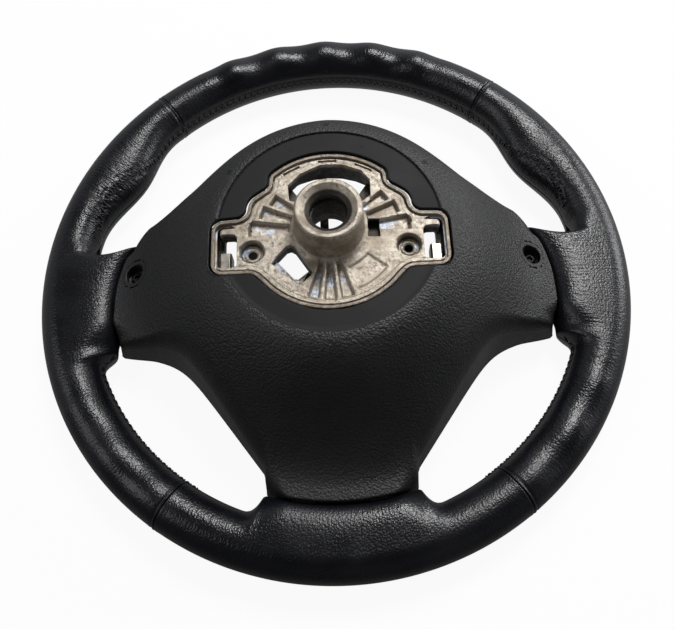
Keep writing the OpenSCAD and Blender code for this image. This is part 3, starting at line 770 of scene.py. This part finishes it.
def stitches(name, parts):
    """Threads that cross the joint, as one mesh. parts: (start, end) angles round the rim."""
    out = Parts()
    ring = np.linspace(0, 360, 7)[:-1]
    for a0, a1 in parts:
        step = np.degrees(STITCH_PITCH / 155)
        count = int((a1 - a0) / step)
        for i in range(count):
            for way in (1, -1):
                t = np.linspace(0, 1, 9)
                a = a0 + (i + 0.5 * t + (0 if way > 0 else 0.5)) * step
                q = fold(a)
                w = (RIM_C - grip_in(q)) * 0.5 + GRIP_H / 4
                phi = stitch_phi(q) + way * np.degrees(STITCH_HALF * (1 - 2 * t) / w)
                p = grip(a, phi)
                pa = grip(a + 0.05, phi)
                pp = grip(a, phi + 0.5)
                n = np.cross(pp - p, pa - p)
                n /= np.linalg.norm(n, axis=1, keepdims=True)
                p = p + n * (-0.75 + 1.15 * np.sin(np.pi * t) ** 0.6)[:, None]
                along = np.gradient(p, axis=0)
                along /= np.linalg.norm(along, axis=1, keepdims=True)
                b = np.cross(along, n)
                tube = p[:, None] + THREAD_R * (cos(ring)[None, :, None] * n[:, None]
                                                + sin(ring)[None, :, None] * b[:, None])
                out.add(tube, round_v=True)
    return out.build(name)


# Back cover


def arc(cx, cy, r, a0, a1, n):
    t = np.linspace(a0, a1, n + 1)
    return np.stack([cx + r * cos(t), cy + r * sin(t)], -1)


def rounded_box(cx, cy, half_w, half_h, r, n):
    """Outline of a box with round corners of n steps each."""
    corners = ((1, 1, 0), (-1, 1, 90), (-1, -1, 180), (1, -1, 270))
    return np.concatenate([arc(cx + sx * (half_w - r), cy + sy * (half_h - r), r, a0, a0 + 90, n)
                           for sx, sy, a0 in corners])


def web_outline(g):
    """The web's outline grown by g, as the source draws it, with rounder corners."""
    half = np.concatenate([
        arc(0, 0, WEB_R + g, 90, 50, 30),
        arc((WEB_R - 6) * cos(50), (WEB_R - 6) * sin(50), 6 + g, 40, 0, 10),
        arc(40.2, 31.5, 6.4 - g, 180, 245, 10),
        arc(36.5, 14.5, 9.7 + g, 55, 5, 12),
        arc(53.6, 15.3, 7.4 - g, 185, 262, 12),
        arc(EAR_X - EAR_R, EAR_TOP - EAR_R, EAR_R + g, 90, 0, 14),
        arc(EAR_X - EAR_R, EAR_R - EAR_LOW, EAR_R + g, 0, -90, 14),
        arc(46.5, -EAR_LOW - 8, 8 - g, 90, 145, 12),
        arc(0, 0, WEB_R + g, -38, -90, 36)])
    return np.concatenate([half, half[-2:0:-1] * [-1, 1]])


def even_loop(points, n):
    """The closed polyline at n even steps."""
    loop = np.concatenate([points, points[:1]])
    run = np.concatenate([[0], np.cumsum(np.linalg.norm(np.diff(loop, axis=0), axis=1))])
    goal = np.linspace(0, run[-1], n, endpoint=False)
    return np.stack([np.interp(goal, run, loop[:, k]) for k in (0, 1)], -1)


def upper(a):
    """1 round the top of the disc, where its groove is crisp, 0 round the bottom."""
    return rise((sin(a) - 0.04) / 0.12)


def disc_reach(a):
    """Radius where the disc's mesh meets the crown's: beyond the ears of the web beside them."""
    q = fold(a)
    return DISC_R + 10 * rise((q + 38) / 12) * rise((24 - q) / 12)


def face_z(r, up):
    """Height of the disc and its border: a groove above, a soft step below."""
    step = DISC_STEP * rise((DISC_R - r) / mix(3.0, 1.0, up))
    return np.where(r < DISC_R, DISC_Z - step, top_z(r)) - GROOVE_D * up * np.exp(-((r - DISC_R) / 0.45) ** 2)


def crown(a, outer_skin, radial):
    """The cover's skin from the disc's rim outwards, one row per angle."""
    t = 0 if outer_skin else COVER_T
    q = fold(a)
    e = firm(q)
    b = edge_r(q)
    bs = b - t - (1 - e) * DRAFT * (top_z(b) - EDGE_Z)
    rr = np.maximum(0.5, mix(COVER_ROUND, 1.0, e) - t)
    ra = bs - rr
    u = rise(np.linspace(0, 1, radial)) * 0.35 + np.linspace(0, 1, radial) * 0.65
    r0 = disc_reach(a)
    r = r0[:, None] + (ra - r0)[:, None] * u
    z = top_z(r) - 1.12 * t
    if outer_skin:
        z = face_z(r, upper(a)[:, None])
    k = np.linspace(0, 90, 13)[1:]
    br = ra[:, None] + rr[:, None] * sin(k)
    bz = top_z(br) - 1.12 * t - rr[:, None] * (1 - cos(k))
    low = mix(EDGE_Z, FLANGE_Z, seat(q))
    wall = np.linspace(0, 1, 9)[1:]
    wr = br[:, -1:] + (b - t - br[:, -1])[:, None] * wall
    wz = bz[:, -1:] + (low - bz[:, -1])[:, None] * wall
    r = np.concatenate([r, br, wr], 1)
    z = np.concatenate([z, bz, wz], 1)
    return np.stack([r * cos(a)[:, None], r * sin(a)[:, None], z], -1)


def hole_in(pts, radius):
    """Draws grid points near each screw recess onto a clean circle, and says which to drop."""
    drop = np.zeros(pts.shape[:2], bool)
    for side in (-1, 1):
        dx = pts[..., 0] - side * RECESS_X
        dy = pts[..., 1] - RECESS_Y
        d = np.hypot(dx, dy)
        top = pts[..., 2] > RIM_Z + 10
        inside = (d < radius) & top
        scale = np.where(inside & (d > radius - 1.0), radius / np.maximum(d, 1e-6), 1.0)
        pts[..., 0] = np.where(inside, side * RECESS_X + dx * scale, pts[..., 0])
        pts[..., 1] = np.where(inside, RECESS_Y + dy * scale, pts[..., 1])
        drop |= (d < radius - 1.0) & top
    return drop


def cover():
    """The back cover: crown, disc, screw recesses and guide finger in one mesh."""
    a = np.linspace(-90, 270, COVER_STEPS, endpoint=False)
    out = crown(a, True, 80)
    drop = hole_in(out, RECESS_R + 2.5)
    inside = crown(a, False, 40)
    drop_inside = hole_in(inside, RECESS_R + 1.6)
    n, m = out.shape[:2]
    faces = [f for f in grid_faces(n, m, 0, round_u=True, flip=True)
             if not any(drop.reshape(-1)[k] for k in f)]
    points = [out.reshape(-1, 3)]
    total = n * m
    faces += [f for f in grid_faces(*inside.shape[:2], total, round_u=True)
              if not any(drop_inside.reshape(-1)[k - total] for k in f)]
    points.append(inside.reshape(-1, 3))
    total += inside.shape[0] * inside.shape[1]
    rim = np.stack([out[:, -1], inside[:, -1]], 1)
    faces += grid_faces(n, 2, total, round_u=True, flip=True)
    points.append(rim.reshape(-1, 3))
    total += 2 * n
    # Disc from the web's cut-out to the groove, with a rounded inner edge and a wall below
    loop = even_loop(web_outline(CUT_GAP), DISC_LOOP_STEPS)
    angle = np.unwrap(np.arctan2(loop[:, 1], loop[:, 0]))
    if angle[-1] < angle[0]:
        loop = loop[::-1]
        angle = np.unwrap(np.arctan2(loop[:, 1], loop[:, 0]))
    goal = np.maximum.accumulate(angle)
    tangent = np.roll(loop, -1, 0) - np.roll(loop, 1, 0)
    tangent /= np.linalg.norm(tangent, axis=1, keepdims=True)
    outward = np.stack([tangent[:, 1], -tangent[:, 0]], -1)
    edge = []
    for k in np.linspace(0, 90, 6):
        edge.append(np.concatenate([loop + outward * 0.5 * (1 - sin(k)),
                                    np.full((DISC_LOOP_STEPS, 1), DISC_Z - DISC_STEP - 0.5 * (1 - cos(k)))], 1))
    wall = [np.concatenate([loop, np.full((DISC_LOOP_STEPS, 1), DISC_Z - DISC_STEP - d)], 1)
            for d in (1.5, 3.0)]
    reach = disc_reach(np.degrees(goal))[:, None]
    far = reach * np.stack([np.cos(goal), np.sin(goal)], -1)
    rows = []
    first = edge[0][:, :2]
    # Rows crowd together where they cross the disc's edge
    middle = np.clip((DISC_R - np.linalg.norm(first, axis=1)[:, None])
                     / np.maximum(reach - np.linalg.norm(first, axis=1)[:, None], 0.1), 0, 1)
    for t in np.linspace(-1, 1, 33)[::-1]:
        share = middle + (np.abs(t) ** 1.7) * (1 - middle if t > 0 else -middle)
        p = mix(first, far, share)
        r = np.linalg.norm(p, axis=1)
        z = face_z(r, upper(np.degrees(np.arctan2(p[:, 1], p[:, 0]))))
        rows.append(np.concatenate([p, z[:, None]], 1))
    disc = np.stack(rows[:-1] + edge + wall, 1)
    faces_before = len(faces)
    faces += grid_faces(*disc.shape[:2], total, round_u=True)
    points.append(disc.reshape(-1, 3))
    total += disc.shape[0] * disc.shape[1]
    below = np.minimum(DISC_Z - DISC_STEP - 3.0, top_z(reach) - 3.0)
    under = np.stack([wall[-1], np.concatenate([far, below], 1)], 1)
    faces += grid_faces(DISC_LOOP_STEPS, 2, total, round_u=True)
    points.append(under.reshape(-1, 3))
    total += 2 * DISC_LOOP_STEPS
    spot = np.concatenate(points)
    disc_faces = [k for k in range(faces_before, len(faces))
                  if np.linalg.norm(spot[list(faces[k]), :2].mean(0)) < DISC_R]
    # Screw recesses
    for side in (-1, 1):
        t = np.linspace(0, 360, 97)[:-1]
        ring = []
        for r, dz in ((8.5, 0), (8.0, 0), (7.4, 0.01), (6.9, 0.0), (6.5, -0.06), (6.2, -0.22), (6.04, -0.5),
                      (6.0, -1.0)):
            x = side * RECESS_X + r * cos(t)
            y = RECESS_Y + r * sin(t)
            ring.append(np.stack([x, y, top_z(np.hypot(x, y)) + dz], -1))
        for r, z in ((6.0, SEAT_Z + 2.3), (5.7, SEAT_Z + 2.0), (2.2, SEAT_Z + 2.0), (2.2, SEAT_Z)):
            ring.append(np.stack([side * RECESS_X + r * cos(t), RECESS_Y + r * sin(t), np.full(96, z)], -1))
        for r, z in ((7.6, SEAT_Z), (7.6, -70.0)):
            ring.append(np.stack([side * RECESS_X + r * cos(t), RECESS_Y + r * sin(t), np.full(96, z)], -1))
        tube = np.stack(ring, 1)
        faces += grid_faces(*tube.shape[:2], total, round_u=True)
        points.append(tube.reshape(-1, 3))
        total += tube.shape[0] * tube.shape[1]
    # Finger that guides the leads, below the boss
    (x0, y0, z0), (x1, y1, z1) = GUIDE
    box = np.array([[x, y, z] for z in (z0, z1) for x, y in ((x0, y0), (x1, y0), (x1, y1), (x0, y1))])
    faces += [tuple(total + k for k in f) for f in
              ((3, 2, 1, 0), (4, 5, 6, 7), (0, 1, 5, 4), (1, 2, 6, 5), (2, 3, 7, 6), (3, 0, 4, 7))]
    points.append(box)
    obj = new_object("cover_shell", np.concatenate(points), faces)
    obj.data.materials.append(None)
    obj.data.materials.append(None)
    mats = np.zeros(len(obj.data.polygons), np.int32)
    if len(faces) == len(mats):
        mats[disc_faces] = 1
    obj.data.polygons.foreach_set("material_index", mats)
    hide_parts("back_cover")
    return obj


def trim():
    """The front trim, smooth, with its switch wells and screw bosses."""
    span = np.arange(-180 - TRIM_END, TRIM_END + 0.01, 0.5)
    q = fold(span)
    b = edge_r(q)
    m = (b + POCKET_R) / 2
    zt = mix(EDGE_Z - PART_GAP, TRIM_SEAM_Z, seat(q))
    k = 0 * b
    t = TRIM_T
    # Section of the trim: radius, and height above its face
    keys = [(k + POCKET_R, k + POCKET_WALL), (k + POCKET_R + 0.5, k + POCKET_WALL + 0.35),
            (k + POCKET_R + t - 0.5, k + POCKET_WALL + 0.35), (k + POCKET_R + t, k + POCKET_WALL),
            (k + POCKET_R + t, k + t + 0.4), (m, k + t - FRONT_R), (b - t - 1, k + t + 0.6), (b - t, zt - TRIM_Z),
            (b, zt - TRIM_Z), (b, k + 3), (b - 0.22, k + 2.1), (b - 0.6, k + 1.4), (b - 1.5, k + 0.7),
            (b - 3, k + 0.2), (mix(b - 3, m, 0.5), k - FRONT_R * 0.62), (m, k - FRONT_R),
            (mix(m, POCKET_R + 1.2, 0.6), k - FRONT_R * 0.5), (k + POCKET_R + 1.2, k + 0.0),
            (k + POCKET_R + 0.45, k + 0.4), (k + POCKET_R, k + 1.2)]
    pts = np.stack([np.stack([r * cos(span), r * sin(span), TRIM_Z + z], -1) for r, z in keys], 1)
    n, w = pts.shape[:2]
    faces = grid_faces(n, w, 0, round_v=True)
    faces.append(tuple(range(w)))
    faces.append(tuple((n - 1) * w + j for j in range(w - 1, -1, -1)))
    obj = new_object("trim_shell", pts.reshape(-1, 3), faces)
    for side in (-1, 1):
        well = rounded_box(side * PACK_X, PACK_Y, PACK_W / 2, PACK_H / 2, PACK_R, 12)
        prism(obj, well, TRIM_Z - 5, TRIM_Z + 8, "DIFFERENCE")
        prism(obj, arc(side * RECESS_X, RECESS_Y, 4.4, 0, 352.5, 47), TRIM_Z + 1.2, RIM_Z - 0.8, "UNION")
        prism(obj, arc(side * RECESS_X, RECESS_Y, 1.95, 0, 345, 23), TRIM_Z + 2, RIM_Z + 5, "DIFFERENCE")
    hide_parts("front_trim")
    return obj


def prism(obj, loop, z0, z1, operation):
    """Joins an upright prism to a mesh, or cuts it out of it."""
    turns = np.roll(loop, -1, 0)
    if np.sum(loop[:, 0] * turns[:, 1] - loop[:, 1] * turns[:, 0]) < 0:
        loop = loop[::-1]
    n = len(loop)
    points = [(x * MM, y * MM, z * MM) for z in (z0, z1) for x, y in loop]
    faces = [tuple(range(n - 1, -1, -1)), tuple(range(n, 2 * n))]
    faces += [(i, (i + 1) % n, n + (i + 1) % n, n + i) for i in range(n)]
    mesh = bpy.data.meshes.new("prism")
    mesh.from_pydata(points, [], faces)
    tool = bpy.data.objects.new("prism", mesh)
    bpy.context.scene.collection.objects.link(tool)
    cut = obj.modifiers.new("cut", "BOOLEAN")
    cut.operation = operation
    cut.solver = "EXACT"
    cut.object = tool
    graph = bpy.context.evaluated_depsgraph_get()
    result = bpy.data.meshes.new_from_object(obj.evaluated_get(graph))
    obj.modifiers.remove(cut)
    obj.data = result
    bpy.data.objects.remove(tool)
    bpy.data.meshes.remove(mesh)


def cast_pockets():
    """Pockets between the ribs: first and last angle, inner and outer radius, depth."""
    fan = [(142.2, 152.9, 22.5, 38.5, 3.6), (156.1, 167.4, 22.5, 41.0, 3.6),
           (170.6, 183.1, 22.5, 46.0, 3.6)]
    other = [(180 - b, 180 - a, c, d, e) for a, b, c, d, e in fan]
    foot = [(251.6, 260.4, 21.5, 43.0, 3.0), (263.6, 273.4, 21.5, 43.4, 3.0), (276.6, 286.4, 21.5, 43.0, 3.0)]
    return fan + other + foot + [(290, 322, 26.0, 40.5, 0.9)]


def casting_z(x, y):
    """Height of the cast web's face between its lip and the boss."""
    r = np.hypot(x, y)
    a = np.degrees(np.arctan2(y, x))
    z = LAND_Z + 0 * x
    for a0, a1, r0, r1, depth in cast_pockets():
        off = np.abs((a - (a0 + a1) / 2 + 180) % 360 - 180)
        d = np.minimum(((a1 - a0) / 2 - off) * np.pi / 180 * r, np.minimum(r - r0, r1 - r))
        z = z - depth * rise(d / 1.7 + 0.25) * np.where(d > -0.5, 1, 0)
    for side in (-1, 1):
        d = np.hypot(x - side * SCREW_X, y - SCREW_Y)
        z = z - 5.4 * rise((7.3 - d) / 1.8) + 0.8 * rise((4.9 - d) / 0.6) - 1.0 * rise((3.3 - d) / 0.8)
    z = z + 4.5 * np.exp(-np.maximum(r - 18.6, 0) / 2.2)
    waviness = 0.16 * (noise(x / 3.1 + 40, y / 3.1 + 40, 21) - 0.5)
    grit = 0.1 * (noise(x / 0.9 + 40, y / 0.9 + 40, 22) - 0.5)
    return z + (waviness + grit)


def casting():
    """Face of the cast web, with the soft corners and rough skin of a die-casting."""
    loop = even_loop(web_outline(-LIP_W + 0.4), SKIN_STEPS)
    angle = np.unwrap(np.arctan2(loop[:, 1], loop[:, 0]))
    if angle[-1] < angle[0]:
        loop = loop[::-1]
    reach = np.linalg.norm(loop, axis=1)
    way = loop / reach[:, None]
    share = np.linspace(0, 1, SKIN_ROWS)
    flat = way[:, None] * (SKIN_IN + (reach[:, None] - SKIN_IN) * share)[..., None]
    z = casting_z(flat[..., 0], flat[..., 1])
    z[:, -1] -= 0.3
    top = np.concatenate([flat, z[..., None]], -1)
    low = np.full((SKIN_STEPS, 1, 1), WEB_TOP - 0.5)
    ends = [np.concatenate([flat[:, [k]], low], -1) for k in (0, -1)]
    pts = np.concatenate([ends[0], top, ends[1]], 1)
    n, m = pts.shape[:2]
    faces = grid_faces(n, m, 0, round_u=True, round_v=True, flip=True)
    obj = new_object("web_casting", pts.reshape(-1, 3), faces)
    cuts = [(np.array(LOZENGE), -60, 0), (np.concatenate([ARCH, arc(0, 0, ARCH_IN, 132, 44, 14)]), -60, 0),
            (np.array(SQUARE_POCKET), WEB_TOP + 1.2, 0)]
    for side in (-1, 1):
        window = rounded_box(side * WINDOW_X, WINDOW_Y, WINDOW_HALF_W, WINDOW_HALF_H, WINDOW_R, 6)
        cuts.append((window, -60, 0))
        cuts.append((arc(side * SCREW_X, SCREW_Y, SCREW_R, 0, 345, 23), -60, 0))
    for outline, z0, z1 in cuts:
        prism(obj, outline, z0, z1, "DIFFERENCE")
    mesh = obj.data
    mesh.polygons.foreach_set("use_smooth", [True] * len(mesh.polygons))
    mesh.set_sharp_from_angle(angle=np.radians(40))
    return obj


def marks():
    """Ejector marks on the crown and two small ones on the disc."""
    out = Parts()
    t = np.linspace(0, 360, 33)[:-1]
    spots = [(0, 69.8, 1.5), (57, 40, 1.5), (-57, 40, 1.5), (0, -70, 1.3), (21, 52.4, 0.8), (-21, 52.4, 0.8)]
    for x, y, r in spots:
        rows = []
        for k, h in ((1.15, -0.1), (1.12, 0.06), (1.0, 0.1), (0.9, 0.04), (0.8, -0.02), (0.4, 0.02),
                     (0.02, 0.04)):
            px = x + k * r * cos(t)
            py = y + k * r * sin(t)
            base = top_z(np.hypot(px, py)) if np.hypot(x, y) > DISC_R else DISC_Z - DISC_STEP + 0 * px
            rows.append(np.stack([px, py, base + h], -1))
        out.add(np.stack(rows, 1), round_u=True)
    return out.build("ejector_marks")


# Scene


def camera():
    data = bpy.data.cameras.new("camera")
    data.lens = LENS
    data.sensor_width = 36
    data.clip_start = 0.01
    cam = bpy.data.objects.new("camera", data)
    m = Matrix((VIEW_X, VIEW_Y, VIEW_Z)).transposed().to_4x4()
    m.translation = VIEW_PLACE
    cam.matrix_world = m
    bpy.context.scene.collection.objects.link(cam)
    bpy.context.scene.camera = cam


def area_light(name, place, target, size, watts, tall=None):
    data = bpy.data.lights.new(name, "AREA")
    data.energy = watts
    data.size = size
    if tall:
        data.shape = "RECTANGLE"
        data.size_y = tall
    obj = bpy.data.objects.new(name, data)
    obj.location = place
    obj.rotation_euler = (Vector(target) - Vector(place)).to_track_quat("-Z", "Y").to_euler()
    bpy.context.scene.collection.objects.link(obj)


def ramp(tree, value, a, b, c, d):
    """Smooth change from c to d as the value goes from a to b."""
    n = tree.nodes.new("ShaderNodeMapRange")
    n.interpolation_type = "SMOOTHSTEP"
    tree.links.new(value, n.inputs["Value"])
    for key, v in zip(("From Min", "From Max", "To Min", "To Max"), (a, b, c, d)):
        n.inputs[key].default_value = v
    return n.outputs["Result"]


def times(tree, *values):
    """Product of several sockets."""
    out = values[0]
    for value in values[1:]:
        n = tree.nodes.new("ShaderNodeMath")
        n.operation = "MULTIPLY"
        tree.links.new(out, n.inputs[0])
        tree.links.new(value, n.inputs[1])
        out = n.outputs[0]
    return out


def world():
    """White for the camera; reflections see a bright back and right, a dim ceiling and a dark front."""
    w = bpy.data.worlds.new("studio")
    bpy.context.scene.world = w
    w.use_nodes = True
    tree = w.node_tree
    tree.nodes.clear()
    out = tree.nodes.new("ShaderNodeOutputWorld")
    white = tree.nodes.new("ShaderNodeBackground")
    white.inputs["Color"].default_value = (1, 1, 1, 1)
    white.inputs["Strength"].default_value = 1.0
    soft = tree.nodes.new("ShaderNodeBackground")
    soft.inputs["Color"].default_value = (1, 1, 1, 1)
    soft.inputs["Strength"].default_value = SOFT_LIGHT
    mirror = tree.nodes.new("ShaderNodeBackground")
    mirror.inputs["Color"].default_value = (0.93, 0.95, 1, 1)
    coord = tree.nodes.new("ShaderNodeTexCoord")
    split = tree.nodes.new("ShaderNodeSeparateXYZ")
    tree.links.new(coord.outputs["Generated"], split.inputs[0])
    x, y, z = split.outputs
    shares = (ramp(tree, x, -1, 1, LEFT_SHARE, RIGHT_SHARE), ramp(tree, y, -0.55, 0.25, FRONT_SHARE, 1),
              ramp(tree, z, 0.4, 0.8, 1, CEILING))
    tree.links.new(times(tree, *shares), mirror.inputs["Strength"])
    path = tree.nodes.new("ShaderNodeLightPath")
    first = tree.nodes.new("ShaderNodeMixShader")
    tree.links.new(path.outputs["Is Glossy Ray"], first.inputs[0])
    tree.links.new(soft.outputs[0], first.inputs[1])
    tree.links.new(mirror.outputs[0], first.inputs[2])
    either = tree.nodes.new("ShaderNodeMath")
    either.operation = "MAXIMUM"
    tree.links.new(path.outputs["Is Camera Ray"], either.inputs[0])
    tree.links.new(path.outputs["Is Transmission Ray"], either.inputs[1])
    second = tree.nodes.new("ShaderNodeMixShader")
    tree.links.new(either.outputs[0], second.inputs[0])
    tree.links.new(first.outputs[0], second.inputs[1])
    tree.links.new(white.outputs[0], second.inputs[2])
    tree.links.new(second.outputs[0], out.inputs[0])


def floor():
    """Nearly white for the camera, with the wheel's soft shadow; glossy rays see the studio's shares."""
    mesh = bpy.data.meshes.new("floor")
    bm = bmesh.new()
    bmesh.ops.create_grid(bm, x_segments=1, y_segments=1, size=6)
    bm.to_mesh(mesh)
    bm.free()
    obj = bpy.data.objects.new("floor", mesh)
    obj.location = (0, 0, cad_box[0][2] - 0.0002)
    bpy.context.scene.collection.objects.link(obj)
    m = Nodes("floor")
    m.set(Base_Color=(0.86, 0.86, 0.86, 1), Roughness=0.9)
    m.bsdf.inputs["Specular IOR Level"].default_value = 0.1
    white = m.tree.nodes.new("ShaderNodeEmission")
    white.inputs["Strength"].default_value = 1.0
    mirror = m.tree.nodes.new("ShaderNodeEmission")
    x, y, z = m.xyz(m.coord.outputs["Object"])
    m.tree.links.new(times(m.tree, ramp(m.tree, x, -0.4, 0.4, LEFT_SHARE, FLOOR_SHARE),
                           ramp(m.tree, y, -0.3, 0.15, FRONT_SHARE, 1)), mirror.inputs["Strength"])
    path = m.tree.nodes.new("ShaderNodeLightPath")
    first = m.tree.nodes.new("ShaderNodeMixShader")
    m.tree.links.new(m.math("MULTIPLY", path.outputs["Is Camera Ray"], 0.93), first.inputs[0])
    m.tree.links.new(m.bsdf.outputs[0], first.inputs[1])
    m.tree.links.new(white.outputs[0], first.inputs[2])
    second = m.tree.nodes.new("ShaderNodeMixShader")
    m.tree.links.new(path.outputs["Is Glossy Ray"], second.inputs[0])
    m.tree.links.new(first.outputs[0], second.inputs[1])
    m.tree.links.new(mirror.outputs[0], second.inputs[2])
    m.tree.links.new(second.outputs[0], m.out.inputs["Surface"])
    obj.data.materials.append(m.mat)


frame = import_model()
cad_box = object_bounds()
bpy.context.scene.view_settings.view_transform = "Standard"
camera()
world()
floor()
area_light("key", (0.3, 0.7, 1.15), (0, 0, -0.05), 0.45, 14)
area_light("right", (1.2, 0.6, 0.35), (0, 0, -0.06), 0.6, 7, 0.6)
area_light("fill", (-1.0, -0.2, 0.9), (0, 0, -0.06), 0.7, 3)

leather = leather_material()
soft_plastic = cover_material()
disc_face = disc_material()
panels = [
    leather_panel("rim_leather_top", "leather_top", 90 - SEAM_TOP, 90 + SEAM_TOP, (False, False)),
    leather_panel("rim_leather_right", "leather_right", SEAM_BOTTOM - 90, 90 - SEAM_TOP, (True, True)),
    leather_panel("rim_leather_left", "leather_left", 90 + SEAM_TOP, 270 - SEAM_BOTTOM, (True, True)),
    leather_panel("rim_leather_bottom", "leather_bottom", 270 - SEAM_BOTTOM, 270 + SEAM_BOTTOM, (False, False)),
]
for panel in panels:
    panel.data.materials.append(leather)
foam_look = foam_material()
core = foam()
core.data.materials.append(foam_look)
thread = stitches("rim_stitching", STITCHED)
thread.data.materials.append(thread_material())
shell = cover()
shell.data.materials[0] = soft_plastic
shell.data.materials[1] = disc_face
marks().data.materials.append(disc_face)
front = trim()
web = casting()

finishes = {
    "cast_metal": cast_material(),
    "foam": foam_look,
    "trim_plastic": plastic_material("trim", (0.022, 0.022, 0.023), (0.03, 0.03, 0.031), 0.45, 0.55, 1500),
    "switch_plastic": plastic_material("switch", (0.015, 0.015, 0.016), (0.02, 0.02, 0.021), 0.4, 0.5, 1800),
    "button_plastic": plastic_material("keys", (0.02, 0.02, 0.021), (0.026, 0.026, 0.027), 0.5, 0.6, 2000),
    "spring_steel": steel_material("spring", (0.26, 0.235, 0.20), (0.42, 0.39, 0.35), 0.28, 0.45),
    # Painted shade: the screws deep in the spoke holes are near black, the shade of their recesses rather than
    # the steel's own colour
    "screw_steel": steel_material("screw", (0.016, 0.016, 0.017), (0.035, 0.035, 0.036), 0.5, 0.65),
    "leather": leather,
    "soft_plastic": soft_plastic,
}
front.data.materials.clear()
front.data.materials.append(finishes["trim_plastic"])
web.data.materials.clear()
web.data.materials.append(finishes["cast_metal"])
for part in frame["record"]["subparts"]:
    node = frame["nodes"][part["node"]]
    node.data.materials.clear()
    node.data.materials.append(finishes[part["material_slot"]])
